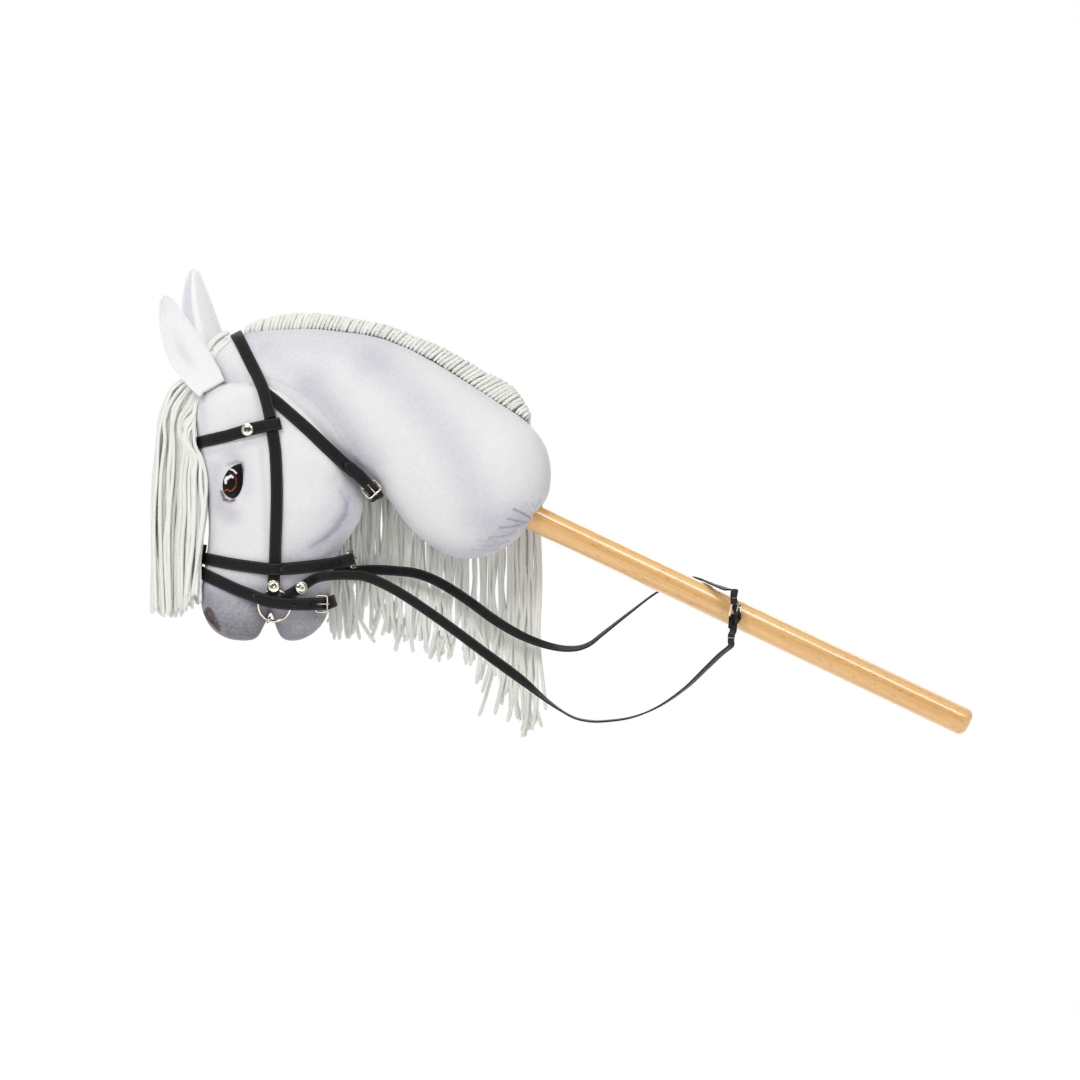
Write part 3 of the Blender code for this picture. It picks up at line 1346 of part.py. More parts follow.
def mane_fall(surface):
    """The mane, hanging on the right side of the neck, as one fluted curtain of yarn."""
    columns = np.arange(FALL_START, MANE_END, FALL_LOCK_PITCH / 2)
    rows = 10
    build = bmesh.new()
    inner_grid = []
    outer_grid = []
    hem_x = [x * MM for x, _ in MANE_HEM]
    hem_z = [z * MM for _, z in MANE_HEM]
    top_line = crest_line(-1, 1, 2 * MM)
    for number, x in enumerate(columns):
        top = float(np.interp(x, top_line[:, 0], top_line[:, 2])) - FALL_DROP
        ragged = 0.5 + 0.5 * math.sin(2.3 * number) * math.cos(0.7 * number)
        bottom = float(np.interp(x, hem_x, hem_z)) + FALL_RAGGED * ragged
        flute = 0.5 + 0.5 * math.cos(math.tau * (x - FALL_START) / FALL_LOCK_PITCH)
        widest = 0
        heights = np.linspace(top, bottom, 80)
        reach = []
        for z in heights:
            for beside in (-FALL_LOCK_PITCH / 4, 0, FALL_LOCK_PITCH / 4):
                for below in (0, 4 * MM):
                    hit = surface.ray_cast(Vector((x + beside, 1, z - below)), Vector((0, -1, 0)))
                    if hit[0] is not None:
                        widest = max(widest, hit[0].y)
            reach.append(widest)
        reach = np.array(reach)
        inner = []
        outer = []
        for i in range(rows):
            share = (i / (rows - 1)) ** 1.5
            z = top + (bottom - top) * share
            y = float(np.interp(-z, -heights, reach)) + FALL_CLEARANCE * min(1, 0.6 + 3 * share)
            thick = FALL_THICKNESS * (0.55 + 0.45 * flute) * math.sqrt(
                max(0.12, 1 - (2 * share - 1) ** 4))
            inner.append(build.verts.new((x, y, z)))
            outer.append(build.verts.new((x, y + thick, z)))
        inner_grid.append(inner)
        outer_grid.append(outer)
    last = len(columns) - 1
    for grid in (inner_grid, outer_grid):
        for i in range(last):
            for j in range(rows - 1):
                build.faces.new((grid[i][j], grid[i + 1][j], grid[i + 1][j + 1], grid[i][j + 1]))
    rim = ([(i, 0) for i in range(last)] + [(last, j) for j in range(rows - 1)]
           + [(i, rows - 1) for i in range(last, 0, -1)] + [(0, j) for j in range(rows - 1, 0, -1)])
    for (i1, j1), (i2, j2) in zip(rim, rim[1:] + rim[:1]):
        build.faces.new((inner_grid[i1][j1], inner_grid[i2][j2], outer_grid[i2][j2],
                         outer_grid[i1][j1]))
    return mesh_object("mane_fall", build, YARN)


def free_track(points, acrosses, width):
    """The track of a free rein: points in space, and which way its width lies along it."""
    line = smooth_curve(points, 2 * MM)
    share = np.linspace(0, 1, len(line))
    places = [key for key, _ in acrosses]
    across = np.column_stack([np.interp(share, places, [v[k] for _, v in acrosses])
                              for k in range(3)])
    ahead = np.gradient(line, axis=0)
    ahead /= np.linalg.norm(ahead, axis=1)[:, None]
    across = across - np.sum(across * ahead, axis=1)[:, None] * ahead
    across /= np.linalg.norm(across, axis=1)[:, None]
    side = across * width / 2
    return Track(line - side, line, line + side, width)


def reins(loops):
    """Both reins, and the buckle in their middle that hangs beside the stick."""
    top, bottom = Vector(CENTRE_TOP), Vector(CENTRE_BOTTOM)
    down = (bottom - top).normalized()
    across = Vector(CENTRE_ACROSS)
    across = (across - across.dot(down) * down).normalized()
    track = straight_track(top, down, across, (bottom - top).length, REIN_WIDTH)
    if track.normal[5, 1] > 0:
        track = straight_track(top, down, -across, (bottom - top).length, REIN_WIDTH)
    heel = CENTRE_HEEL
    out_height = over_fold(heel)
    in_height = billet_height(heel)
    fixed_path = folded_end(heel)
    fixed_path += run(track, heel + 0.5 * MM, track.length, out_height)
    tab = strap("rein_tab", track, fixed_path, width=REIN_WIDTH)
    path = run(track, 0, heel + CENTRE_TAIL, in_height)
    billet = strap("rein_billet", track, with_point(path), width=REIN_WIDTH,
                   pointed=True)
    buckle("rein", track, heel, tab, billet)
    low_end = track.place(track.length + SEAT_GAP, 0, out_height(track.length))
    high_end = track.place(-SEAT_GAP, 0, in_height(0))
    centre_across = Vector(track.axes(0)[1])
    for (piece, loop_track, length, half), word, route, end, keys in (
            (loops[0], "left", LEFT_REIN, low_end, LEFT_REIN_FACING),
            (loops[1], "right", RIGHT_REIN, high_end, RIGHT_REIN_FACING)):
        start = loop_track.place(length + SEAT_GAP, 0, half)
        ahead = (loop_track.place(length, 0, half) - loop_track.place(length - MM, 0, half))
        points = [start + ahead.normalized() * k * MM for k in (0, 3, 6)]
        points += [Vector(point) * MM for point in route]
        lead = down if word == "left" else -down
        points += [end + lead * k * MM for k in (8, 4, 0)]
        first = Vector(loop_track.axes(length)[1])
        facing = [(0, first), *[(key, Vector(v)) for key, v in keys], (1, centre_across)]
        facing = aligned(facing)
        rein_line = free_track([tuple(p) for p in points], facing, REIN_WIDTH)
        strap("rein_" + word, rein_line, [(u, 0) for u in np.arange(0, rein_line.length, 2 * MM)]
              + [(rein_line.length, 0)], width=REIN_WIDTH)


def aligned(facing):
    """Turn each direction to the same side as the one before it."""
    result = [facing[0]]
    for key, v in facing[1:]:
        if result[-1][1].dot(v) < 0:
            v = -v
        result.append((key, v))
    return result


def build_all():
    """Make every piece, from the stick outwards."""
    _, bore = stick()
    head = stuffed("head", HEAD_SPINE, HEAD_OUTLINE, CLOTH)
    head_room = grown_cutter(head, CUT_GAP)
    neck = stuffed("neck", NECK_SPINE, NECK_OUTLINE, CLOTH)
    neck_room = grown_cutter(neck, CUT_GAP)
    cut(neck, head_room)
    cut(neck, bore)
    settle(neck)
    cut(head, mouth_groove())
    body = surface_of(head, neck)
    head_surface = surface_of(head)
    for side, word, foot, lean in ((-1, "left", EAR_FOOT_LEFT, EAR_LEAN_LEFT),
                                   (1, "right", EAR_FOOT_RIGHT, EAR_LEAN_RIGHT)):
        ear("ear_" + word, side, foot, lean, (head_room, neck_room))
        eye("eye_" + word, side, head_surface)

    cheek = girth_track(CHEEK_ROUTE, STRAP_WIDTH, body, True, False)
    brow = girth_track(BROWBAND_ROUTE, STRAP_WIDTH, body, True, False)
    throat = girth_track(THROAT_ROUTE, STRAP_WIDTH, body, True, False, THROAT_SLACK,
                         THROAT_SLACK_HALF)
    nose = girth_track(NOSEBAND_ROUTE, STRAP_WIDTH, body, True, True, NOSEBAND_SLACK,
                       NOSEBAND_SLACK_HALF)
    flash = girth_track(FLASH_ROUTE, STRAP_WIDTH, body, True, True, FLASH_SLACK,
                        FLASH_SLACK_HALF)

    fixed, long = throatlatch(throat)
    returns = browband_returns(brow)
    over_returns = copy.copy(cheek)
    over_returns.rise_over(*returns)
    rings = []
    ring_places = []
    cheeks = []
    loops = []
    for side, word in ((-1, "left"), (1, "right")):
        centre, up = seated_ring(side, body, cheek)
        ring_places.append((side, centre, up))
        rings.append(ring_piece("bit_ring_" + word, centre, up))
        cheeks.append(cheekpiece("cheekpiece_" + word, side, over_returns, centre, up))
        loops.append(rein_loop("rein_loop_" + word, side, centre, up, body))
    brow.rise_over(*returns, *cheeks)
    brow_piece = browband(brow)
    cheek.rise_over(fixed, long, *cheeks)
    end = cheek.find_height(HEADPIECE_END)
    headpiece = strap("headpiece", cheek, run(cheek, -end, end, lambda u: layer(1)))
    nose_heel = nose.flatten(BUCKLE_OF_NOSEBAND - 4 * MM, 9 * MM, 6 * MM) + 4 * MM
    nose.rise_over(*cheeks)
    noseband = buckled_band("noseband", "noseband", nose, nose_heel,
                            nose.find(TAIL_OF_NOSEBAND), 3)
    flash_heel = flash.flatten(flash.find(BUCKLE_OF_FLASH), 11 * MM, 12 * MM)
    flash.rise_over(noseband, *cheeks, *rings, *[loop[0] for loop in loops])
    flash_strap = buckled_band("flash", "flash_strap", flash, flash_heel,
                               flash.find(TAIL_OF_FLASH), 2)
    nose_keeper(body, noseband, flash_strap)
    mouthpiece(ring_places)
    brow_room = grown_cutter(brow_piece, SEAT_GAP)
    forelock = stuffed("forelock", FORELOCK_SPINE, FORELOCK_OUTLINE, YARN, layers=2)
    keeper_room = grown_cutter(bpy.data.objects["nose_keeper"], SEAT_GAP)
    for room in (head_room, neck_room, brow_room, keeper_room):
        cut(forelock, room)
    crest = mane_crest()
    tuft = poll_tuft()
    headpiece_room = grown_cutter(headpiece, SEAT_GAP)
    for piece in (crest, tuft):
        cut(piece, neck_room)
        cut(piece, headpiece_room)
    cut(tuft, head_room)
    far_straps = [bpy.data.objects[name] for name in (
        "headpiece", "throatlatch_right", "cheekpiece_right", "noseband")]
    mane_fall(surface_of(head, neck, crest, *far_straps))
    reins(loops)


build_all()
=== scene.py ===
"""How the hobby horse looks: soft pieces, yarn, leather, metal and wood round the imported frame.

Metres in the frame's own axes. Pixel positions are turned into millimetres by mm(): one pixel of
the side view is one millimetre of the object.
"""

import json
import math

import bmesh
import bpy
import numpy as np
from mathutils import Matrix, Vector
from mathutils.bvhtree import BVHTree

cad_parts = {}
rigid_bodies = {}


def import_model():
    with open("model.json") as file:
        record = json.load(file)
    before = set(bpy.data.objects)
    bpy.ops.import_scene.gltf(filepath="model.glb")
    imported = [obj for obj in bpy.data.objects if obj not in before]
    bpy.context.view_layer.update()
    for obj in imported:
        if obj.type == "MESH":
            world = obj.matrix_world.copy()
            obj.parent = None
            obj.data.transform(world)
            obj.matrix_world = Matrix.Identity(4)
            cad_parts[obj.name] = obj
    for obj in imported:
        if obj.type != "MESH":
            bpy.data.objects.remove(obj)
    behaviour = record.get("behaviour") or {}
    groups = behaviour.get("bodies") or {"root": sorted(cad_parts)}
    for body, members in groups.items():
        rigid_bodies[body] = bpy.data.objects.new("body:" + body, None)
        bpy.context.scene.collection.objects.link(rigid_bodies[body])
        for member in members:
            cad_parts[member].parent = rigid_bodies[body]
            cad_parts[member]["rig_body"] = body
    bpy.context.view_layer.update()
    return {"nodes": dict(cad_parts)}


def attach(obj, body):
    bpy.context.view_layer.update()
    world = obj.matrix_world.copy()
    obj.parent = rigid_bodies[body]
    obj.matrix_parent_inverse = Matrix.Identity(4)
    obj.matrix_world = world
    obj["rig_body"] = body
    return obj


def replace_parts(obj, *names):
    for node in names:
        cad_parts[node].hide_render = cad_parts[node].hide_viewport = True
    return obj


MM = 0.001
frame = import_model()
NODES = frame["nodes"]


def mm(px, py):
    """Side-view pixel to frame x and z, in mm."""
    return px - 601.0, 549.0 - py


# ---- Camera, floor and light

CAMERA_DISTANCE = 20.0
CAMERA_X, CAMERA_Z = -0.061, 0.009
FRAME_WIDTH = 1.08
SENSOR_WIDTH = 36
WHITE = (1, 1, 1, 1)
BLACK = (0, 0, 0, 1)
SKY_LIGHT = 0.44
FLOOR_HALF = 6.0
FLOOR_Z = -0.62
FLOOR_GLOW = 0.8
CARD_CORNERS = [(-6.0, -6.0, -0.6), (5.5, -6.0, -0.6), (5.5, -6.0, 5.0), (-6.0, -6.0, 5.0)]


def srgb(r, g, b):
    """A display colour, 0 to 255, as linear light."""
    out = []
    for value in (r, g, b):
        value /= 255
        out.append(value / 12.92 if value <= 0.04045 else ((value + 0.055) / 1.055) ** 2.4)
    return (*out, 1.0)


def new_object(name, data):
    thing = bpy.data.objects.new(name, data)
    bpy.context.scene.collection.objects.link(thing)
    return thing


def camera():
    """A far camera, square to the toy's left side."""
    data = bpy.data.cameras.new("camera")
    data.sensor_width = SENSOR_WIDTH
    data.lens = SENSOR_WIDTH * CAMERA_DISTANCE / FRAME_WIDTH
    data.clip_end = 100
    thing = new_object("camera", data)
    thing.location = (CAMERA_X, -CAMERA_DISTANCE, CAMERA_Z)
    thing.rotation_euler = (math.radians(90), 0, 0)
    bpy.context.scene.camera = thing


def lamp(name, place, size, power, target=(-0.15, 0, 0.02), gloss_only=False):
    """A round lamp that faces its target."""
    data = bpy.data.lights.new(name, "AREA")
    data.shape = "DISK"
    data.size = size
    data.energy = power
    thing = new_object(name, data)
    thing.location = place
    thing.visible_diffuse = not gloss_only
    direction = Vector(target) - Vector(place)
    thing.rotation_euler = direction.to_track_quat("-Z", "Y").to_euler()


def looks(tree):
    """1 for the rays that see the backdrop's own white, 0 for those that only carry light."""
    path = tree.nodes.new("ShaderNodeLightPath")
    found = path.outputs["Is Camera Ray"]
    for kind in ("Is Transmission Ray", "Is Glossy Ray"):
        either = tree.nodes.new("ShaderNodeMath")
        either.operation = "MAXIMUM"
        tree.links.new(found, either.inputs[0])
        tree.links.new(path.outputs[kind], either.inputs[1])
        found = either.outputs[0]
    return found


def mixed(tree, share, first, second, out):
    """Two shaders, mixed by share, into a new output node."""
    mix = tree.nodes.new("ShaderNodeMixShader")
    for source, socket in zip((share, first.outputs[0], second.outputs[0]), mix.inputs):
        tree.links.new(source, socket)
    tree.links.new(mix.outputs[0], tree.nodes.new(out).inputs[0])


def world():
    made = bpy.data.worlds.new("studio")
    made.use_nodes = True
    tree = made.node_tree
    tree.nodes.clear()
    skies = []
    for strength in (SKY_LIGHT, 1.0):
        sky = tree.nodes.new("ShaderNodeBackground")
        sky.inputs["Color"].default_value = WHITE
        sky.inputs["Strength"].default_value = strength
        skies.append(sky)
    mixed(tree, looks(tree), *skies, "ShaderNodeOutputWorld")
    bpy.context.scene.world = made


def sheet(name, corners):
    """A four-cornered sheet with a material of its own."""
    data = bpy.data.meshes.new(name)
    data.from_pydata(corners, [], [(0, 1, 2, 3)])
    made = bpy.data.materials.new(name)
    made.use_nodes = True
    data.materials.append(made)
    return new_object(name, data), made.node_tree


def floor():
    """A pale floor well below the toy, white to the camera except where the toy's shadow falls."""
    half, z = FLOOR_HALF, FLOOR_Z
    thing, tree = sheet("floor", [(-half, -half, z), (half, -half, z), (half, half, z),
                                  (-half, half, z)])
    shader = tree.nodes["Principled BSDF"]
    shader.inputs["Base Color"].default_value = (0.86, 0.86, 0.87, 1)
    shader.inputs["Roughness"].default_value = 0.9
    shader.inputs["Emission Color"].default_value = WHITE
    strength = tree.nodes.new("ShaderNodeMath")
    strength.operation = "MULTIPLY"
    strength.inputs[1].default_value = FLOOR_GLOW
    tree.links.new(looks(tree), strength.inputs[0])
    tree.links.new(strength.outputs[0], shader.inputs["Emission Strength"])


def dark_card():
    """A dark card in front of the toy that only reflections see, to give the metal contrast."""
    thing, tree = sheet("card", CARD_CORNERS)
    tree.nodes.clear()
    clear = tree.nodes.new("ShaderNodeBsdfTransparent")
    dark = tree.nodes.new("ShaderNodeBsdfDiffuse")
    dark.inputs["Color"].default_value = (0.05, 0.045, 0.035, 1)
    path = tree.nodes.new("ShaderNodeLightPath")
    mixed(tree, path.outputs["Is Glossy Ray"], clear, dark, "ShaderNodeOutputMaterial")


camera()
world()
floor()
dark_card()
lamp("key", (-2.2, -4.4, 3.2), 2.0, 118)
lamp("fill", (2.8, -3.6, 1.2), 2.4, 16)
lamp("back", (0.6, 3.8, 3.0), 2.2, 60)
lamp("top", (-0.2, -0.6, 4.2), 1.8, 30)
# In the plane square to the stick, so that the varnish shows a light line along its upper third
lamp("stripe", (1.75, -3.35, 3.3), 1.3, 48, target=(0.12, 0, -0.05), gloss_only=True)
bpy.context.scene.view_settings.view_transform = "Standard"


# ---- Materials

class Finish:
    """A Principled material and short ways to add nodes to it."""

    def __init__(self, name, roughness, metallic=0.0):
        self.material = bpy.data.materials.new(name)
        self.material.use_nodes = True
        self.tree = self.material.node_tree
        self.shader = self.tree.nodes["Principled BSDF"]
        self.coordinates = self.tree.nodes.new("ShaderNodeTexCoord").outputs["Object"]
        self.set("Roughness", roughness)
        self.set("Metallic", metallic)

    def set(self, socket, value):
        """Give a socket of the shader a plain value or another node's output."""
        self.feed(self.shader.inputs[socket], value)

    def feed(self, socket, value):
        if isinstance(value, (int, float, tuple)):
            socket.default_value = value
        else:
            self.tree.links.new(value, socket)

    def node(self, kind, inputs):
        made = self.tree.nodes.new("ShaderNode" + kind)
        for name, value in inputs.items():
            self.feed(made.inputs[name], value)
        return made

    def scaled(self, scale, turn=(0, 0, 0)):
        return self.node("Mapping", {"Scale": scale, "Rotation": turn,
                                     "Vector": self.coordinates}).outputs[0]

    def noise(self, scale, detail=3.0, roughness=0.55, vector=None, distortion=0.0):
        return self.node("TexNoise", {
            "Scale": scale, "Detail": detail, "Roughness": roughness, "Distortion": distortion,
            "Vector": vector or self.coordinates}).outputs["Fac"]

    def cells(self, scale, feature="F1", vector=None):
        made = self.node("TexVoronoi", {"Scale": scale, "Vector": vector or self.coordinates})
        made.feature = feature
        return made.outputs["Distance"]

    def waves(self, scale, vector, direction, distortion):
        made = self.node("TexWave", {"Scale": scale, "Distortion": distortion, "Detail": 2,
                                     "Vector": vector})
        made.bands_direction = direction
        return made.outputs["Fac"]

    def attribute(self, name, output="Fac"):
        made = self.node("Attribute", {})
        made.attribute_name = name
        return made.outputs[output]

    def ramp(self, source, low, high, start=0.0, end=1.0):
        """The source's range start to end, spread over low to high."""
        return self.node("MapRange", {"From Min": start, "From Max": end, "To Min": low,
                                      "To Max": high, "Value": source}).outputs[0]

    def math(self, kind, a, b):
        made = self.node("Math", {})
        made.operation = kind
        self.feed(made.inputs[0], a)
        self.feed(made.inputs[1], b)
        return made.outputs[0]

    def mix(self, share, a, b):
        made = self.node("Mix", {})
        made.data_type = "RGBA"
        for key, kind, value in (("Factor", "VALUE", share), ("A", "RGBA", a), ("B", "RGBA", b)):
            self.feed([s for s in made.inputs if s.name == key and s.type == kind][0], value)
        return [s for s in made.outputs if s.type == "RGBA"][0]

    def bump(self, height, strength, distance, below=None):
        made = self.node("Bump", {"Strength": strength, "Distance": distance, "Height": height})
        if below is not None:
            self.feed(made.inputs["Normal"], below)
        return made.outputs[0]


# Each tint on the cloth: its attribute, how uneven it lies, and its colour.
# The lilac and the muzzle's grey are partly airbrush and partly painted shade; the brown is print.
CLOTH_TINTS = [("lilac", 1.0, srgb(183, 179, 196)), ("muzzle", 1.0, srgb(104, 97, 108)),
            ("nostril", 1.6, srgb(94, 68, 77))]


def cloth_finish(name, pale=srgb(244, 244, 244), dull=srgb(238, 238, 239)):
    """White brushed cotton, tinted where the tints' attributes say: airbrush, print and painted
    shade.
    """
    f = Finish(name, 0.92)
    f.set("Sheen Weight", 0.25)
    f.set("Sheen Roughness", 0.5)
    f.set("Specular IOR Level", 0.25)
    mottle = f.noise(330, 4, 0.6)
    speckle = f.noise(1100, 2, 0.6)
    uneven = f.math("ADD", f.ramp(mottle, -0.16, 0.16, 0.3, 0.7),
                    f.ramp(speckle, -0.1, 0.1, 0.3, 0.7))
    base = f.mix(f.ramp(mottle, 0.0, 1.0, 0.32, 0.68), pale, dull)
    for tint, patchy, colour in CLOTH_TINTS:
        share = f.math("ADD", f.math("MULTIPLY", uneven, patchy), 1.0)
        base = f.mix(f.math("MULTIPLY", f.attribute(tint), share), base, colour)
    f.set("Base Color", f.mix(f.attribute("crease"), base, srgb(40, 28, 34)))
    weave_a, weave_b = (f.waves(210, f.scaled((1, 1, 1), (0, math.radians(turn), 0)), "X", 1.2)
                        for turn in (38, -52))
    weave = f.bump(f.math("MULTIPLY", weave_a, weave_b), 0.18, 0.0003)
    nap = f.bump(f.noise(900, 3, 0.7), 0.35, 0.0004, weave)
    f.set("Normal", f.bump(f.noise(160, 3, 0.5), 0.12, 0.0012, nap))
    return f.material


def yarn_finish(name):
    f = Finish(name, 0.78)
    f.set("Sheen Weight", 0.6)
    f.set("Sheen Roughness", 0.45)
    f.set("Specular IOR Level", 0.35)
    # Tone: each strand's own whiteness, and on the hanging strands painted shade as well
    tone = f.attribute("tone")
    base = f.mix(tone, srgb(254, 254, 250), srgb(240, 240, 232))
    fibres = f.noise(1500, 3, 0.7, f.scaled((1, 1, 0.12)))
    base = f.mix(f.ramp(fibres, 0.0, 0.35, 0.45, 0.75), base, srgb(233, 233, 223))
    f.set("Base Color", base)
    f.set("Normal", f.bump(fibres, 0.45, 0.0003))
    return f.material


def leather_finish(name, gloss=0.42):
    f = Finish(name, gloss)
    f.set("Specular IOR Level", 0.19)
    creases = f.cells(1150, "DISTANCE_TO_EDGE")
    pores = f.cells(2600)
    wear = f.noise(90, 4, 0.6)
    base = f.mix(f.ramp(wear, 0.0, 1.0, 0.42, 0.72), srgb(12, 12, 13), srgb(24, 23, 25))
    base = f.mix(f.ramp(creases, 0.35, 0.0, 0.0, 0.12), base, srgb(6, 6, 7))
    f.set("Base Color", base)
    f.set("Roughness", f.ramp(wear, gloss - 0.06, gloss + 0.16, 0.3, 0.7))
    grain = f.bump(f.ramp(creases, 0.0, 1.0, 0.0, 0.14), 0.55, 0.00025)
    f.set("Normal", f.bump(pores, 0.2, 0.0002, grain))
    return f.material


def thread_finish(name):
    f = Finish(name, 0.55)
    twist = f.noise(4200, 2, 0.5)
    light = f.ramp(twist, 0.0, 1.0, 0.3, 0.7)
    f.set("Base Color", f.mix(light, srgb(58, 58, 60), srgb(100, 99, 102)))
    f.set("Normal", f.bump(twist, 0.4, 0.0002))
    return f.material


def nickel_finish(name):
    f = Finish(name, 0.16, 1.0)
    scuffs = f.noise(700, 4, 0.7, f.scaled((1, 4, 1)))
    tarnish = f.noise(60, 3, 0.5)
    base = f.mix(f.ramp(tarnish, 0.0, 1.0, 0.35, 0.7), srgb(226, 219, 203), srgb(204, 195, 176))
    # Painted reflection: a dark ring where the metal is turned partway from the camera, between its
    # middle and its rim
    turned = f.node("LayerWeight", {"Blend": 0.42}).outputs["Facing"]
    side = f.ramp(turned, 0.0, 1.0, 0.10, 0.30)
    edge = f.ramp(turned, 1.0, 0.0, 0.42, 0.66)
    f.set("Base Color", f.mix(f.math("MULTIPLY", side, edge), base, srgb(62, 56, 49)))
    f.set("Roughness", f.ramp(scuffs, 0.1, 0.3, 0.35, 0.75))
    f.set("Normal", f.bump(scuffs, 0.06, 0.0001))
    return f.material


def beech_finish(name):
    """Varnished beech: long fine grain along local Z, short dark flecks, a clear coat."""
    f = Finish(name, 0.42)
    f.set("Coat Weight", 1.0)
    f.set("Coat Roughness", 0.17)
    f.set("Specular IOR Level", 0.4)
    along = f.scaled((1, 1, 0.035))
    grain = f.noise(420, 5, 0.62, along, 0.3)
    broad = f.noise(70, 3, 0.5, f.scaled((1, 1, 0.06)), 0.6)
    rings = f.waves(55, f.scaled((1, 1, 0.03), (0.03, 0.02, 0)), "Y", 5.0)
    base = f.mix(f.ramp(broad, 0.0, 1.0, 0.3, 0.7), srgb(248, 203, 136), srgb(239, 186, 114))
    base = f.mix(f.ramp(rings, 0.0, 0.42, 0.45, 1.0), base, srgb(220, 160, 88))
    base = f.mix(f.ramp(grain, 0.0, 0.55, 0.5, 0.72), base, srgb(207, 145, 78))
    flecks = f.cells(520, "F1", f.scaled((1, 1, 0.13)))
    fleck = f.ramp(flecks, 0.85, 0.0, 0.1, 0.28)
    chosen = f.ramp(f.noise(160, 2, 0.5), 0.0, 1.0, 0.47, 0.57)
    base = f.mix(f.math("MULTIPLY", fleck, chosen), base, srgb(150, 92, 46))
    f.set("Base Color", base)
    f.set("Roughness", f.ramp(grain, 0.33, 0.5, 0.3, 0.8))
    f.set("Normal", f.bump(grain, 0.12, 0.0003))
    return f.material


def eye_finish(name):
    """The printed eye: its colours are painted on its vertices in code."""
    f = Finish(name, 0.42)
    f.set("Specular IOR Level", 0.12)
    printed = f.attribute("paint", "Color")
    threads = f.noise(2400, 2, 0.6)
    f.set("Base Color", f.mix(f.ramp(threads, 0.0, 0.18, 0.4, 0.8), printed, BLACK))
    f.set("Normal", f.bump(threads, 0.12, 0.0002))
    return f.material


# Cloth tinted with airbrush, print and painted shade
CLOTH = cloth_finish("tinted_cloth")
# The ears get a whiter copy of the same cloth: painted light
EAR_CLOTH = cloth_finish("ear_cloth", srgb(255, 255, 255), srgb(252, 252, 253))
YARN = yarn_finish("wool_yarn")
LEATHER = leather_finish("black_leather")
REIN_LEATHER = leather_finish("rein_leather", 0.36)
THREAD = thread_finish("black_thread")
NICKEL = nickel_finish("nickel")
BEECH = beech_finish("varnished_beech")
EYE = eye_finish("printed_eye")


# ---- Mesh helpers

def make(name, points, faces, finish):
    data = bpy.data.meshes.new(name)
    data.from_pydata([tuple(p) for p in points], [], faces)
    return place_mesh(name, data, finish)


def place_mesh(name, data, finish, body="horse", smooth=True):
    if smooth:
        data.shade_smooth()
    data.materials.clear()
    data.materials.append(finish)
    thing = new_object(name, data)
    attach(thing, body)
    return thing


def per_vertex(data, what):
    """A row for each vertex: its place ("co") or its normal ("normal")."""
    flat = np.empty(len(data.vertices) * 3)
    data.vertices.foreach_get(what, flat)
    return flat.reshape(-1, 3)


def push_out(data, points, move):
    """Move the vertices along their normals, and return where they are then."""
    points += per_vertex(data, "normal") * move[:, None]
    data.vertices.foreach_set("co", points.ravel())
    data.update()
    return points


def paint(data, name, values):
    layer = data.attributes.new(name, "FLOAT", "POINT")
    layer.data.foreach_set("value", np.asarray(values, dtype=np.float32))


def store_tints(data, **tints):
    """Stores how much of each tint lies on a piece of cloth, airbrush, print and painted shade
    alike; what isn't given is none.
    """
    for name in ("lilac", "muzzle", "nostril", "crease"):
        paint(data, name, tints.get(name, np.zeros(len(data.vertices))))


def closed_mesh(name, points, faces):
    """A mesh from points and faces, with its faces turned outwards."""
    data = bpy.data.meshes.new(name)
    data.from_pydata([tuple(p) for p in points], [], faces)
    build = bmesh.new()
    build.from_mesh(data)
    bmesh.ops.recalc_face_normals(build, faces=build.faces)
    if build.calc_volume(signed=True) < 0:
        bmesh.ops.reverse_faces(build, faces=build.faces)
    build.to_mesh(data)
    build.free()
    return data


def subdivided(name, data, levels):
    """The mesh after so many levels of smooth subdivision."""
    cage = new_object(name + "_cage", data)
    smoother = cage.modifiers.new("soft", "SUBSURF")
    smoother.levels = levels
    smoother.render_levels = levels
    bpy.context.view_layer.update()
    final = cage.evaluated_get(bpy.context.evaluated_depsgraph_get())
    result = bpy.data.meshes.new_from_object(final)
    bpy.data.objects.remove(cage, do_unlink=True)
    result.name = name
    return result


def tube_faces(rings, sides, first=0):
    """The faces of a tube, closed at both ends, whose rings of points follow one another."""
    last = first + (rings - 1) * sides
    faces = []
    for a in range(first, last, sides):
        for k in range(sides):
            j = (k + 1) % sides
            faces.append((a + k, a + j, a + sides + j, a + sides + k))
    faces.append(tuple(reversed(range(first, first + sides))))
    faces.append(tuple(range(last, last + sides)))
    return faces


def lathe_faces(rings, steps):
    """The faces between the rings of a turned piece; a ring of one point is a tip."""
    faces = []
    for one, two in zip(rings, rings[1:]):
        for k in range(steps):
            j = (k + 1) % steps
            if len(one) == 1:
                faces.append((one[0], two[k], two[j]))
            elif len(two) == 1:
                faces.append((one[k], two[0], one[j]))
            else:
                faces.append((one[k], two[k], two[j], one[j]))
    return faces


def bell(distance, width):
    """1 in the middle, falling off smoothly over the width."""
    return np.exp(-(distance / width) ** 2)


def tree_of(*things):
    points = []
    faces = []
    for thing in things:
        first = len(points)
        points.extend(v.co.copy() for v in thing.data.vertices)
        faces.extend([first + i for i in face.vertices] for face in thing.data.polygons)
    return BVHTree.FromPolygons(points, faces)


def first_hit(surface, start, ahead):
    """Where a ray first meets the surface, or None."""
    return surface.ray_cast(Vector(start), Vector(ahead))[0]


def lengths_along(line):
    """How far along the line each of its points is."""
    return np.concatenate([[0], np.cumsum(np.linalg.norm(np.diff(line, axis=0), axis=1))])


def frames_along(line, across):
    """Unit vectors ahead along a line, across it, and square to both."""
    ahead = np.gradient(line, axis=0)
    ahead /= np.linalg.norm(ahead, axis=1)[:, None]
    across = across - np.sum(across * ahead, axis=1)[:, None] * ahead
    across /= np.linalg.norm(across, axis=1)[:, None]
    return ahead, across, np.cross(ahead, across)


CURVE_CUTS = 12
RIPPLES = 9


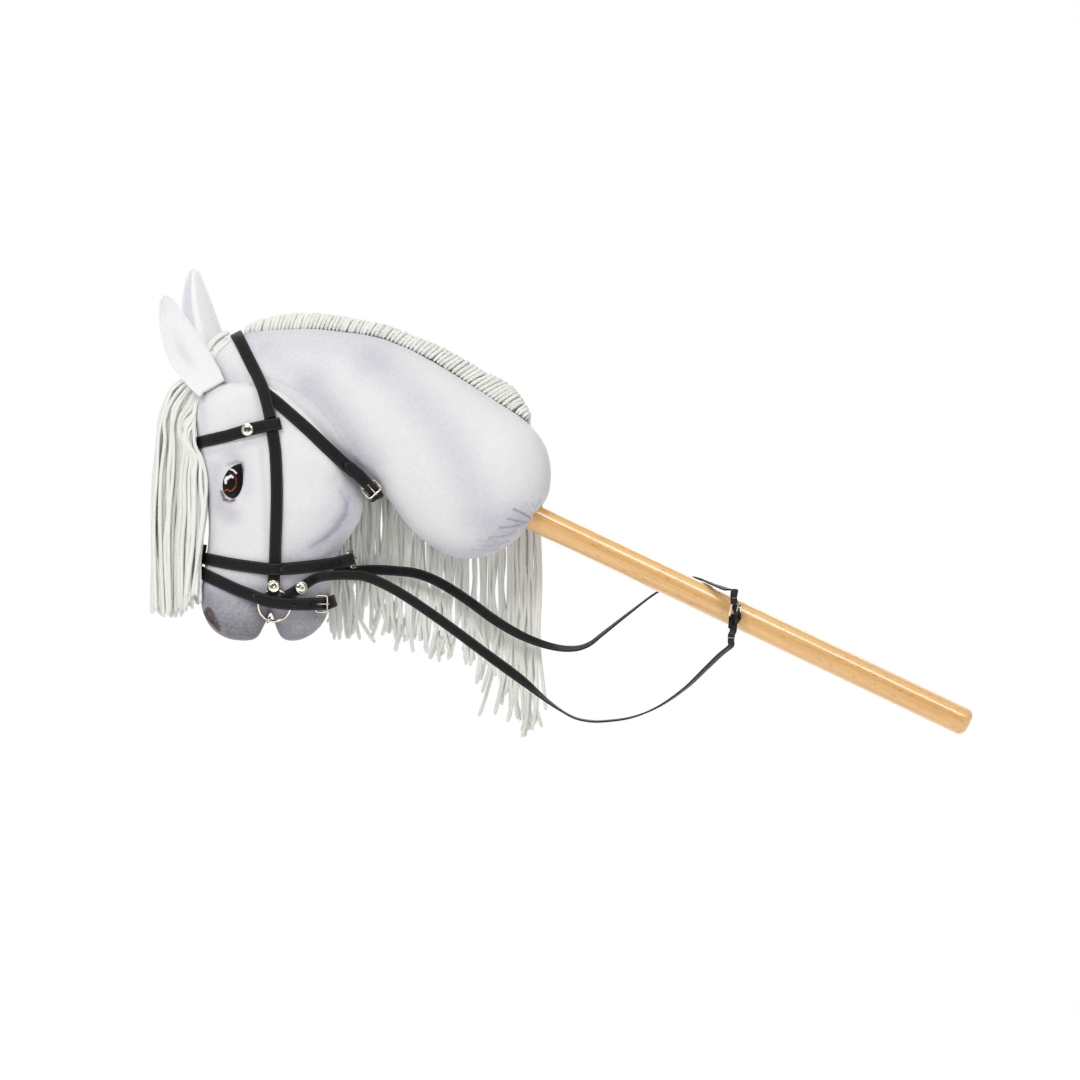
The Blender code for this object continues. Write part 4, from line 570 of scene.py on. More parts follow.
def smooth_curve(points, step):
    """Points about a step apart on a smooth curve through the given ones."""
    knots = np.array(points, dtype=float)
    before = 2 * knots[0] - knots[1]
    after = 2 * knots[-1] - knots[-2]
    padded = np.vstack([before, knots, after])
    fine = []
    for i in range(1, len(padded) - 2):
        a, b, c, d = padded[i - 1:i + 3]
        for share in np.linspace(0, 1, CURVE_CUTS, endpoint=False):
            fine.append(0.5 * (2 * b + (c - a) * share + (2 * a - 5 * b + 4 * c - d) * share ** 2
                               + (3 * b - a - 3 * c + d) * share ** 3))
    fine.append(knots[-1])
    return even_steps(np.array(fine), step)


def even_steps(line, step):
    """The same line, with its points an equal distance apart, about a step."""
    lengths = lengths_along(line)
    count = max(2, int(round(lengths[-1] / step)) + 1)
    wanted = np.linspace(0, lengths[-1], count)
    return np.column_stack([np.interp(wanted, lengths, line[:, k]) for k in range(line.shape[1])])


def wobble(points, size, seed):
    """A smooth, repeatable ripple of about +-1 over space, with features about one size across."""
    rng = np.random.default_rng(seed)
    total = np.zeros(len(points))
    for _ in range(RIPPLES):
        direction = rng.normal(size=3)
        direction /= np.linalg.norm(direction)
        length = size * rng.uniform(0.7, 1.6)
        total += np.sin(points @ direction * math.tau / length + rng.uniform(0, math.tau))
    return total / (RIPPLES / 2)


# ---- Reins: free cords, so their routes come first

LEFT_REIN = [
    (-294.48, -38.1, -34.86), (-292.07, -37.36, -33.24), (-289.65, -36.62, -31.62),
    (-281, -43.5, -28), (-266, -42.5, -26), (-250, -41, -26), (-232, -39.5, -28.5),
    (-202, -37, -43), (-161, -34, -70.5), (-117, -31, -103), (-79, -29, -131),
    (-52, -28, -153), (-30, -27, -167), (-14, -26.5, -171.5), (3, -26, -172), (31, -25, -168),
    (58, -24.5, -157), (84, -24, -139), (104, -24, -120), (118.5, -24, -106),
    (129.46, -24.93, -96.86), (129.69, -24.93, -92.86), (129.92, -24.93, -88.87),
]
RIGHT_REIN = [
    (-294.48, 38.1, -34.86), (-292.07, 37.36, -33.24), (-289.65, 36.62, -31.62),
    (-281, 43.5, -27.5), (-266, 42.5, -24), (-250, 41.5, -22), (-227, 40, -21), (-205, 38, -22),
    (-183, 37, -25), (-161, 35, -34), (-134, 33, -51), (-106.5, 31, -71), (-79, 29, -87),
    (-52, 28, -97), (-30, 27, -100), (-13, 26, -96), (3, 26, -84), (31, 25.5, -62),
    (56, 24.5, -43.5), (79, 21.5, -32.5), (94, 14.5, -29.5), (104, 5, -31.8),
    (110.5, -4.5, -34.8), (118, -14, -37.5), (126, -20.5, -40.5), (132.96, -25.11, -40.8),
    (132.73, -25.11, -44.79), (132.5, -25.11, -48.79),
]
LEFT_FACING = [(0, (-0.5061, -0.191, 0.841)), (0.1, (0, 0, 1)), (0.45, (0, 0, 1)),
               (0.6, (0, 1, 0.1)), (0.85, (0.4, 0.8, 0.1)), (1, (0.5983, 0.8005, -0.0348))]
RIGHT_FACING = [(0, (0.5061, -0.191, -0.841)), (0.1, (0, 0, -1)), (0.4, (0, -0.2, -1)),
                (0.6, (0, -1, -0.5)), (0.8, (-0.3, -1, -0.2)), (0.9, (-1, 0, 0.4)),
                (0.97, (-0.8, -0.6, 0)), (1, (-0.5983, -0.8005, 0.0348))]
REIN_WIDTH = 10 * MM
REIN_THICKNESS = 1.5 * MM
STITCH_PITCH = 2.5 * MM
STITCH_LENGTH = 1.8 * MM
STITCH_RADIUS = 0.26 * MM
STITCH_INSET = 1.25 * MM
STITCH_EDGE = 3 * MM
# Each ring of a stitch: how far along it, how thick and how deep it lies
STITCH_RINGS = [(-1, 0.35, -0.7), (-0.6, 1, 0), (0.6, 1, 0), (1, 0.35, -0.7)]
BAND_CORNER = 0.55 * MM


class Stitches:
    """Collects stitches and makes one mesh of them."""

    SIDES = 6

    def __init__(self):
        self.points = []
        self.faces = []

    def add(self, middle, along, out):
        along = np.array(along) / np.linalg.norm(along)
        out = np.array(out) - np.dot(out, along) * along
        out /= np.linalg.norm(out)
        side = np.cross(along, out)
        self.faces += tube_faces(len(STITCH_RINGS), self.SIDES, len(self.points))
        for share, size, sunk in STITCH_RINGS:
            for k in range(self.SIDES):
                angle = math.tau * k / self.SIDES
                self.points.append(np.array(middle) + along * STITCH_LENGTH / 2 * share
                                   + side * STITCH_RADIUS * size * math.cos(angle)
                                   + out * STITCH_RADIUS * (size * math.sin(angle) + sunk))

    def mesh(self, name):
        return make(name, self.points, self.faces, THREAD)


def band_section():
    """A rein's cross-section: flat faces, rounded edges."""
    half, thin = REIN_WIDTH / 2 - BAND_CORNER, REIN_THICKNESS / 2 - BAND_CORNER
    points = []
    for cx, cy, first in ((half, thin, 0), (-half, thin, 90), (-half, -thin, 180),
                          (half, -thin, 270)):
        for k in range(4):
            angle = math.radians(first + 30 * k)
            points.append((cx + BAND_CORNER * math.cos(angle), cy + BAND_CORNER * math.sin(angle)))
    return points


def rein(name, route, facing, node):
    """A rein along its route; facing says which way its width lies at shares of its length."""
    line = smooth_curve(np.array(route) * MM, 1.5 * MM)
    share = np.linspace(0, 1, len(line))
    keys = [key for key, _ in facing]
    ahead, across, out = frames_along(line, np.column_stack(
        [np.interp(share, keys, [v[k] for _, v in facing]) for k in range(3)]))
    section = band_section()
    points = [p + side * a + up * b for p, side, up in zip(line, across, out) for a, b in section]
    band = make(name + "_band", points, tube_faces(len(line), len(section)), REIN_LEATHER)
    stitches = Stitches()
    length = lengths_along(line)
    for s in np.arange(STITCH_EDGE, length[-1] - STITCH_EDGE, STITCH_PITCH):
        p, along, side, up = (np.array([np.interp(s, length, rows[:, k]) for k in range(3)])
                              for rows in (line, ahead, across, out))
        for edge in (-1, 1):
            for face in (-1, 1):
                middle = (p + side * edge * (REIN_WIDTH / 2 - STITCH_INSET)
                          + up * face * REIN_THICKNESS / 2)
                stitches.add(middle, along, up * face)
    sewn = stitches.mesh(name + "_stitches")
    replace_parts(band, node)


rein("rein_near", LEFT_REIN, LEFT_FACING, "rein_left")
rein("rein_far", RIGHT_REIN, RIGHT_FACING, "rein_right")


# ---- Stuffed head and neck

HEAD_SPINE = [
    (-353, 139, 43), (-343, 109, 49), (-333, 74, 54), (-327, 41, 54), (-329, 9, 48),
    (-333, -17, 43), (-335, -39, 40), (-355, -55, 38), (-369, -65, 34), (-313, -53, 36),
    (-301, -63, 31),
]
HEAD_OUTLINE = [
    (-377, 170, 0, 0.55), (-392, 163.5, 0, 0.45), (-404, 152, 0, 0.35), (-409, 137, 0, 0.3),
    (-408, 115, 1, 0.3), (-404, 94, 1, 0.3), (-399, 72, 2, 0.28), (-396, 49, 3, 0.28),
    (-395, 24, 4, 0.28), (-396, 1, 5, 0.28), (-400, -19, 5, 0.26), (-402.5, -35, 6, 0.24),
    (-402.5, -51, 7, 0.22), (-399, -68, 8, 0.18), (-389, -83, 8, 0.15), (-374, -91, 8, 0.15),
    (-359, -93, 8, 0.15), (-347, -92, 8, 0.15), (-341.5, -88.5, 8, 0.14), (-337.5, -80.5, 7, 0.12),
    (-333.5, -71.5, 6, 0.1), (-330, -62, 6, 0.1), (-326.5, -71.5, 6, 0.1), (-325, -81.5, 9, 0.12),
    (-321, -90, 10, 0.14), (-314, -93.5, 10, 0.15), (-301, -93, 10, 0.15),
    (-287.5, -86, 10, 0.15), (-276, -75, 10, 0.18), (-269, -57, 9, 0.22),
    (-267.5, -39, 6, 0.24), (-266, -19, 5, 0.24), (-258, -0.5, 4, 0.24), (-247, 13, 4, 0.24),
    (-237, 28, 3, 0.26), (-232.5, 46, 3, 0.3), (-235, 61, 3, 0.4), (-244, 72, 2, 0.55),
    (-252, 84, 2, 0.72), (-260, 102, 2, 0.8), (-272, 123, 1, 0.86), (-288, 144, 1, 0.88),
    (-306, 159, 0, 0.9), (-328, 170, 0, 0.9), (-351, 173, 0, 0.8),
]
NECK_SPINE = [
    (-373, 181, 30), (-339, 175, 37), (-296, 161, 43), (-251, 141, 47), (-206, 115, 52),
    (-161, 87, 57), (-116, 66, 58),
]
NECK_OUTLINE = [
    (-394, 187, 0, 0.25), (-388, 202, 0, 0.2), (-375, 212, 0, 0.15), (-356, 218, 0, 0.12),
    (-331, 221, 1, 0.1), (-305, 223, 2, 0.1), (-278, 223, 2, 0.1), (-249, 220, 3, 0.1),
    (-219, 215, 3, 0.1), (-192, 204, 4, 0.1), (-166, 191.5, 4, 0.1), (-141, 176, 5, 0.1),
    (-117, 159.5, 5, 0.1), (-92, 144, 6, 0.1), (-69, 129, 6, 0.12), (-53, 108, 6, 0.15),
    (-46, 83, 6, 0.18), (-47.5, 60, 6, 0.2), (-54, 42.5, 6, 0.2), (-64, 28, 6, 0.2),
    (-77.5, 12, 6, 0.2), (-95.5, -2.5, 6, 0.2), (-115, -11.5, 6, 0.2), (-135, -15, 6, 0.2),
    (-152, -11.5, 5, 0.2), (-168.5, -2.5, 5, 0.2), (-184, 9, 5, 0.2), (-197, 24, 4, 0.22),
    (-208, 40, 4, 0.24), (-218, 55, 4, 0.26), (-228, 66, 3, 0.3), (-241, 74, 3, 0.3),
    (-258, 86, 3, 0.3), (-281, 102, 2, 0.3), (-308, 116, 2, 0.3), (-337, 130, 1, 0.3),
    (-362, 146, 1, 0.3), (-382, 163, 0, 0.3),
]


FORM_LAYERS = 3
FORM_LEVELS = 4


def stuffed(name, spine, outline):
    """A soft form that swells from its outline to its spine, as a finely subdivided mesh."""
    points = [(x, 0, z) for x, z, _, _ in outline]
    count = len(outline)
    faces = []
    for side in (-1, 1):
        first = len(points)
        points += [(x, side * half, z) for x, z, half in spine]
        rings = [list(range(count))]
        for layer in range(1, FORM_LAYERS):
            turn = math.radians(90) * layer / FORM_LAYERS
            inward = 1 - math.cos(turn)
            rings.append(list(range(len(points), len(points) + count)))
            for x, z, target, edge in outline:
                sx, sz, half = spine[target]
                out = half * (edge + (1 - edge) * math.sin(turn))
                points.append((x + (sx - x) * inward, side * out, z + (sz - z) * inward))
        for outer, inner in zip(rings, rings[1:]):
            for i in range(count):
                j = (i + 1) % count
                face = (outer[i], outer[j], inner[j], inner[i])
                faces.append(face if side < 0 else face[::-1])
        for i in range(count):
            j = (i + 1) % count
            here, there = first + outline[i][2], first + outline[j][2]
            face = [rings[-1][i], rings[-1][j], there]
            if there != here:
                face.append(here)
            faces.append(tuple(face) if side < 0 else tuple(face[::-1]))
    cage = closed_mesh(name, [tuple(c * MM for c in p) for p in points], faces)
    return subdivided(name, cage, FORM_LEVELS)


def to_line(points, line):
    """Distance in the side view, in mm, from every point to a line of pixel positions."""
    knots = np.array([mm(px, py) for px, py in line])
    flat = points[:, [0, 2]] / MM
    best = np.full(len(flat), 1e9)
    for a, b in zip(knots, knots[1:]):
        span = b - a
        share = np.clip(((flat - a) @ span) / (span @ span), 0, 1)
        best = np.minimum(best, np.linalg.norm(flat - a - share[:, None] * span, axis=1))
    return best


def stroke_cover(points, strokes):
    """How much each point is covered by soft strokes of (line, radius, strength), for airbrush,
    print and painted shade.
    """
    bare = np.ones(len(points))
    for line, radius, strength in strokes:
        bare *= 1 - strength * bell(to_line(points, line), radius)
    return 1 - bare


# Lilac on the neck: partly airbrush, partly painted shade under the mane's crest, along the head's
# edge, behind the throatlatch buckle and along the underside
NECK_STROKES = [
    ([(248, 340), (262, 345), (300, 342), (345, 344), (380, 356)], 17, 0.30),
    ([(262, 352), (285, 368), (318, 376)], 15, 0.22),
    ([(372, 362), (398, 378), (425, 408), (444, 434), (460, 462), (474, 490), (486, 520)],
     21, 0.32),
    ([(312, 386), (330, 402), (346, 425), (358, 443), (370, 460)], 16, 0.36),
    ([(300, 386), (322, 400), (342, 426), (356, 447)], 7, 0.24),
    ([(267, 378), (284, 383), (303, 393), (318, 406), (332, 423), (343, 440), (352, 454)],
     0.8, 0.34),
    ([(352, 450), (366, 466), (378, 480)], 9, 0.34),
    ([(356, 459), (362, 466)], 3.0, 0.85),
    ([(432, 556), (455, 562), (480, 556), (504, 540), (520, 522)], 15, 0.52),
    ([(470, 520), (500, 520), (526, 512)], 14, 0.2),
    ([(214, 350), (222, 372), (240, 385)], 13, 0.26),
    ([(208, 350), (217, 366), (224, 380)], 4, 0.4),
    ([(392, 508), (410, 532), (432, 552)], 8, 0.24),
    ([(538, 440), (550, 465), (549, 485), (538, 508)], 6, 0.12),
    ([(240, 330), (262, 375), (272, 396)], 4, 0.26),
    ([(275, 395), (320, 425), (352, 455)], 4, 0.2),
]
# Lilac on the head: partly airbrush round the eye and muzzle, partly painted shade in the cheek's
# fold, beside the straps and under the noseband
HEAD_STROKES = [
    ([(348, 486), (350, 502), (347, 514), (339, 528), (326, 540), (314, 549)], 8, 0.46),
    ([(349, 497), (347, 513), (338, 528), (326, 540), (317, 550)], 2.6, 0.62),
    ([(345, 515), (336, 530), (326, 540)], 4.5, 0.45),
    ([(345, 500), (330, 535), (300, 552)], 18, 0.3),
    ([(338, 480), (346, 470), (344, 455)], 10, 0.22),
    ([(236, 456), (245, 470), (246, 488)], 10, 0.28),
    ([(219, 468), (217, 488), (222, 505), (233, 514)], 9, 0.34),
    ([(222, 508), (230, 516)], 11, 0.3),
    ([(228, 455), (236, 458)], 6, 0.3),
    ([(206, 470), (206, 510), (206, 545)], 8, 0.22),
    ([(206, 562), (250, 572), (300, 568), (340, 555)], 10, 0.3),
    ([(210, 585), (255, 592), (300, 592), (335, 588)], 16, 0.42),
    ([(300, 392), (322, 412), (345, 442), (356, 462)], 4, 0.2),
    ([(200, 392), (204, 425)], 6, 0.16),
    ([(205, 398), (228, 386), (262, 381)], 4, 0.14),
    ([(285, 560), (330, 552), (350, 540)], 9, 0.26),
    ([(262, 450), (266, 500), (267, 552)], 3.2, 0.22),
    ([(282, 450), (284, 500), (284, 552)], 3.2, 0.2),
    ([(200, 454), (232, 448), (262, 441)], 3.5, 0.3),
]
# The muzzle's grey: partly airbrush, partly painted shade at the corners of the lips and under the
# bit ring and the flash strap
MUZZLE_STROKES = [
    ([(206, 600), (214, 622), (232, 636), (256, 638)], 13, 0.42),
    ([(235, 626), (252, 628), (264, 618)], 15, 0.3),
    ([(258, 637), (265, 626)], 5, 0.4),
    ([(284, 634), (300, 638), (318, 624)], 12, 0.26),
    ([(277, 634), (276, 622)], 6, 0.45),
    ([(256, 604), (266, 622)], 6, 0.35),
    ([(268, 622), (271, 606)], 5, 0.6),
    ([(242, 600), (258, 606)], 5, 0.3),
    ([(220, 640), (245, 642), (256, 640)], 5, 0.3),
    ([(284, 641), (312, 637)], 5, 0.25),
    ([(310, 616), (325, 618)], 4, 0.3),
]
EYE_HALO = [
    ([(242.6, 465.5), (243.4, 470), (242.6, 477)], 1.9, 0.95),
    ([(242.4, 478), (242.3, 484)], 1.6, 0.6),
    ([(222.4, 492), (225.0, 499.5), (230.5, 501.3), (234.5, 500)], 1.9, 0.9),
    ([(229, 465), (238, 461.8), (243, 463)], 1.8, 0.5),
]
NOSTRIL_OUTLINE = [(203.8, 612), (205.5, 608.3), (208.6, 606.8), (212, 609), (216.5, 617),
                   (220.4, 625), (220.2, 631), (214.5, 627.5), (207.5, 620.5)]
NOSTRIL_LINES = [
    ([(204.2, 612.5), (207.5, 618), (213.5, 623.2)], 1.3, 0.97),
    ([(207, 611), (208.8, 617), (211.6, 622)], 0.8, 0.85),
    ([(214.6, 617.8), (211.2, 622.4)], 0.8, 0.85),
    ([(207.2, 618.2), (214.2, 622.2)], 0.8, 0.85),
    ([(213.6, 624), (219.4, 630.4)], 1.2, 0.85),
    ([(210.8, 610.2), (212.4, 616.4)], 0.7, 0.7),
    ([(217, 621.6), (216.2, 627)], 0.7, 0.7),
]
SMILE_FOLD = [(344, 494), (349, 503), (348, 513), (339, 527), (326, 540), (314, 548)]


def inside(points, outline, soft):
    """How far each point lies within a closed line of pixel positions: 0 outside, 1 well inside."""
    knots = np.array([mm(px, py) for px, py in outline])
    flat = points[:, [0, 2]] / MM
    within = np.zeros(len(flat), dtype=bool)
    for a, b in zip(knots, np.roll(knots, -1, axis=0)):
        crosses = (a[1] > flat[:, 1]) != (b[1] > flat[:, 1])
        rise = b[1] - a[1] if b[1] != a[1] else 1e-9
        within ^= crosses & (flat[:, 0] < (b[0] - a[0]) * (flat[:, 1] - a[1]) / rise + a[0])
    gap = to_line(points, [*outline, outline[0]])
    return np.clip(0.5 + np.where(within, gap, -gap) / soft, 0, 1)


STICK_ENTRY = np.array((-66, 0, 31.5)) * MM
STICK_SLOPE = math.radians(25.5)
RUMP_WRINKLES = [
    ([(484, 546), (497, 544.5), (508, 541)], 0.8), ([(472, 550), (486, 551), (499, 549)], 0.7),
    ([(490, 538), (503, 536.5), (516, 531)], 0.9), ([(500, 528), (512, 527), (524, 523)], 1.0),
    ([(514, 509.5), (522, 513), (531, 518)], 1.3), ([(508, 519), (517, 521), (526, 521.5)], 0.8),
    ([(541, 497), (540, 501), (537, 506)], 1.2), ([(533, 503), (535, 508), (535, 512)], 0.7),
    ([(478, 541), (488, 542), (496, 541)], 0.5),
]
# The nostrils and the printed marks round the eyes: place, how far out and how wide
FINE_SPOTS = [((212, 618), 22, 24), ((233, 484), 42, 20)]
FACE_CREASES = [([(338, 478), (334, 490), (337, 500)], 0.5, 2.0),
                ([(322, 520), (330, 512), (336, 500)], 0.35, 2.5),
                ([(209, 612), (214, 622)], 1.6, 3.4)]
GATHERED = 58 * MM
GATHERS = 24
GATHER_WIDTH = 1.15 * MM
ENTRY_DIP, ENTRY_DIP_WIDTH = 2.2 * MM, 7 * MM
WRINKLE_DEPTH, WRINKLE_WIDTH = 1.7 * MM, 1.0
NECK_SEAM, FACE_SEAM, SEAM_WIDTH = 0.55 * MM, 0.5 * MM, 1.3 * MM
FINE_CUTS = 2


def refine(data, centre, reach):
    """Split the faces near one place, for wrinkles finer than the rest."""
    build = bmesh.new()
    build.from_mesh(data)
    for _ in range(FINE_CUTS):
        near = [e for e in build.edges
                if all((v.co - Vector(centre)).length < reach for v in e.verts)]
        bmesh.ops.subdivide_edges(build, edges=near, cuts=1, use_grid_fill=True)
    build.to_mesh(data)
    build.free()
    data.shade_smooth()


def smooth_step(share):
    return share * share * (3 - 2 * share)


def neck_form():
    data = stuffed("neck_form", NECK_SPINE, NECK_OUTLINE)
    refine(data, STICK_ENTRY, GATHERED)
    points = per_vertex(data, "co")
    move = 0.45 * MM * wobble(points, 46 * MM, 3) + 0.16 * MM * wobble(points, 17 * MM, 4)
    # Where the stick goes in, the cloth is gathered and drawn towards it
    axis = np.array((math.cos(STICK_SLOPE), 0, -math.sin(STICK_SLOPE)))
    offset = points - STICK_ENTRY
    lengthwise = offset @ axis
    radial = offset - lengthwise[:, None] * axis
    around = np.arctan2(radial[:, 1], radial @ np.array((axis[2], 0, -axis[0])))
    reach = np.linalg.norm(offset, axis=1)
    gathers = np.zeros(len(points))
    rng = np.random.default_rng(5)
    beyond = np.clip(reach - 13 * MM, 0, None)  # past the stick's own edge
    for k in range(GATHERS):
        angle = math.tau * k / GATHERS + rng.uniform(-0.09, 0.09)
        length = rng.uniform(9, 30) * MM
        depth = rng.uniform(0.7, 2.0) * MM
        gap = np.angle(np.exp(1j * (around - angle - rng.normal(0, 0.12) * beyond / (20 * MM))))
        across = np.abs(gap) * np.clip(reach, 10 * MM, None)
        crease = bell(across, GATHER_WIDTH) - 0.35 * bell(across - 2.4 * MM, 1.3 * MM)
        gathers -= depth * crease * bell(beyond, length)
    near = reach < GATHERED
    move += np.where(near, gathers, 0)
    move -= ENTRY_DIP * bell(beyond, ENTRY_DIP_WIDTH) * near
    # Long wrinkles along the underside of the rump
    for line, depth in RUMP_WRINKLES:
        gap = to_line(points, line)
        move += WRINKLE_DEPTH * depth * (0.35 * bell(gap - 2.2, 1.2) - bell(gap, WRINKLE_WIDTH))
    # The seam down the middle
    move -= NECK_SEAM * bell(points[:, 1], SEAM_WIDTH)
    points = push_out(data, points, move)
    lilac = stroke_cover(points, NECK_STROKES)
    # Painted shade in the rump's wrinkles and just under the mane's crest
    for line, depth in RUMP_WRINKLES:
        lilac += 0.22 * depth * bell(to_line(points, line), WRINKLE_WIDTH)
    crest_shadow_line = [(px + 601, 549 - z + 3) for px, z, _, _ in NECK_OUTLINE[3:16]]
    lilac += 0.18 * bell(to_line(points, crest_shadow_line), 5.0)
    store_tints(data, lilac=np.clip(lilac, 0, 0.9))
    return place_mesh("neck_form", data, CLOTH)


def head_form():
    data = stuffed("head_form", HEAD_SPINE, HEAD_OUTLINE)
    for spot, half, reach in FINE_SPOTS:
        x, z = mm(*spot)
        for y in (-half, half):
            refine(data, (x * MM, y * MM, z * MM), reach * MM)
    points = per_vertex(data, "co")
    move = 0.4 * MM * wobble(points, 40 * MM, 8) + 0.14 * MM * wobble(points, 15 * MM, 9)
    fold = to_line(points, SMILE_FOLD)
    cheek = np.abs(points[:, 1]) > 12 * MM
    move += np.where(cheek, 0.9 * MM * bell(fold - 9, 6) - 1.9 * MM * bell(fold, 2.4), 0)
    for line, depth, width in FACE_CREASES:
        move -= depth * MM * bell(to_line(points, line), width) * cheek
    move -= FACE_SEAM * bell(points[:, 1], SEAM_WIDTH)
    points = push_out(data, points, move)
    level = points[:, 2] / MM
    lilac = stroke_cover(points, HEAD_STROKES)
    # Lilac rising towards the bottom of the head: partly the airbrushed muzzle, partly painted
    # shade
    lilac = 1 - (1 - lilac) * (1 - 0.42 * np.clip((-20 - level) / 26, 0, 1))
    # The muzzle is grey from below the noseband, darkest in front and lowest down: partly airbrush,
    # partly painted shade
    low = smooth_step(np.clip((-30 - level) / 60, 0, 1))
    front = np.clip((-(points[:, 0] / MM) - 268) / 110, 0, 1)
    deep = stroke_cover(points, MUZZLE_STROKES)
    deep = 1 - (1 - deep) * (1 - (0.20 + 0.16 * front) * low)
    deep = 1 - (1 - deep) * (1 - 0.34 * smooth_step(np.clip((-34 - level) / 18, 0, 1)))
    beside = np.abs(points[:, 1]) > 8 * MM
    brown = np.maximum(inside(points, NOSTRIL_OUTLINE, 1.6) * 0.93,
                       stroke_cover(points, EYE_HALO) * beside)
    store_tints(data, lilac=np.clip(lilac, 0, 0.92), muzzle=np.clip(deep, 0, 0.9),
               nostril=np.clip(brown * beside, 0, 0.95),
               crease=np.clip(stroke_cover(points, NOSTRIL_LINES) * beside, 0, 0.95))
    return place_mesh("head_form", data, CLOTH)


neck = neck_form()
head = head_form()
for form, node in ((neck, "neck"), (head, "head")):
    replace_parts(form, node)
stuffing = tree_of(head, neck)


# ---- Ears

NEAR_EAR = {
    "front": [(199.3, 396.8), (190, 388), (183.8, 380.6), (171.9, 365), (166, 352), (162.3, 337.6),
              (160, 323.3), (159.5, 311.3), (161.1, 300.4), (164.6, 296)],
    "back": [(225.6, 381.6), (222, 374), (219.6, 368.6), (211.2, 354.3), (202.9, 340),
             (193.3, 326.9), (182.6, 311.3), (176.5, 303), (171.5, 297.5), (166.6, 295.4)],
}
FAR_EAR = {
    "front": [(192, 352), (186, 340), (183, 330), (181.4, 311.3), (181.6, 300), (182.6, 292.3),
              (184, 283.5), (186.2, 275.5), (189, 270.5), (192.6, 267.8)],
    "back": [(228, 350), (225.5, 342), (223.2, 335.2), (219.6, 325.7), (213.6, 309), (209.8, 299),
             (206.5, 290), (203, 281.5), (199.3, 273), (195.2, 268.2)],
}


def near_ear_shade(v, share):
    """Painted shade on the near ear: faint lilac in its hollow, and a little near its tip."""
    return 0.26 * bell(v - 0.42, 0.16) * bell(share - 0.42, 0.2) + 0.10 * bell(share - 0.93, 0.12)


def far_ear_shade(v, share):
    """Painted shade on the far ear: grey before the fold, paler behind it, and none on the fold
    itself, which is painted as lit.
    """
    before = 1 / (1 + math.exp(-(0.40 - v) / 0.02))
    return (0.42 * before + 0.20 * (1 - before)) * (1 - 0.98 * math.exp(-((v - 0.43) / 0.1) ** 4))


ROOT_SHARE = 0.3
EAR_ROWS, EAR_COLUMNS = 56, 28
# The sewn rim and the groove beside it: how far in from the edge, height and width, in mm
EAR_RIM, EAR_GROOVE = (1.1, 0.35, 0.8), (2.6, -0.3, 0.8)
EAR_DEEPEST = 0.46


def reach_in(surface, flat, side):
    """How far out the surface lies on one side, at a place in the side view."""
    spot = first_hit(surface, (flat[0], side, flat[1]), (0, -side, 0))
    return None if spot is None else side * spot.y


def ear_form(name, side, edges, root_y, tip_y, depth, shade, fold, surface):
    """A leaf of doubled, lightly padded cloth with a sewn rim, hollow towards its own side.

    The face seen from the near side stands up by fold mm along its middle.
    """
    rows, columns = EAR_ROWS, EAR_COLUMNS
    rails = []
    for key in ("front", "back"):
        line = np.array([mm(px, py) for px, py in edges[key]]) * MM
        fine = smooth_curve(line, 1.0 * MM)
        index = np.linspace(0, len(fine) - 1, rows + 1)
        rails.append(np.column_stack([np.interp(index, np.arange(len(fine)), fine[:, k])
                                      for k in range(2)]))
    points = []
    tones = []
    for face in (0, 1):
        seen = face == (1 if side < 0 else 0)
        for i, (front, back) in enumerate(zip(*rails)):
            share = i / rows
            root = root_y + (tip_y - root_y) * share
            hollow = depth * math.sin(math.pi * min(1, 0.18 + 0.82 * share)) ** 0.7
            width = np.linalg.norm(back - front) / MM
            near = 1 - share / ROOT_SHARE
            for j in range(columns + 1):
                v = j / columns
                flat = front + (back - front) * v
                dish = max(0.0, 1 - ((v - EAR_DEEPEST) / (1 - EAR_DEEPEST)) ** 2)
                edge = min(v, 1 - v) * width
                y = root - hollow * dish
                out = (0.5 + 0.9 * min(1, edge / 1.5)) * MM
                for inset, height, spread in (EAR_RIM, EAR_GROOVE):
                    out += height * MM * bell(edge - inset, spread)
                if near > 0:
                    # Near its root the ear lies on the head, and its lowest edge is sewn into it
                    local = reach_in(surface, front + (back - front) * min(v, 0.7), side)
                    if local is not None:
                        y += (local + (1.6 - 4.2 * near ** 5) * MM - y) * near ** 1.5
                # Painted shade: the face that doesn't show is a little grey away from its hollow's
                # middle
                tone = 0.12 * (1 - dish)
                if seen:
                    out += fold * MM * bell(v - 0.44, 0.11) * min(1, 3 * (1 - share))
                    tone = shade(v, share)
                y += out if face else -out
                points.append((flat[0], side * y, flat[1]))
                # All painted shade fades out within 3 mm of the rim, a painted light along the rim
                tones.append(tone * min(1, edge / 3.0))
    count = columns + 1
    half = (rows + 1) * count
    faces = []
    for face in (0, 1):
        for i in range(rows):
            for j in range(columns):
                a = face * half + i * count + j
                quad = (a, a + 1, a + 1 + count, a + count)
                faces.append(quad if face else quad[::-1])
    rim = ([(0, j) for j in range(columns)] + [(i, columns) for i in range(rows)]
           + [(rows, j) for j in range(columns, 0, -1)] + [(i, 0) for i in range(rows, 0, -1)])
    for (i1, j1), (i2, j2) in zip(rim, rim[1:] + rim[:1]):
        a, b = i1 * count + j1, i2 * count + j2
        faces.append((a, b, half + b, half + a))
    data = closed_mesh(name, points, faces)
    store_tints(data, lilac=np.clip(tones, 0, 0.8))
    return place_mesh(name, data, EAR_CLOTH)


near_ear = ear_form("near_ear", -1, NEAR_EAR, 33 * MM, 41 * MM, 8 * MM,
                    near_ear_shade, 0, stuffing)
far_ear = ear_form("far_ear", 1, FAR_EAR, 31 * MM, 40 * MM, 9 * MM,
                   far_ear_shade, 1.2, stuffing)
for ear, node in ((near_ear, "ear_left"), (far_ear, "ear_right")):
    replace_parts(ear, node)


# ---- Eyes

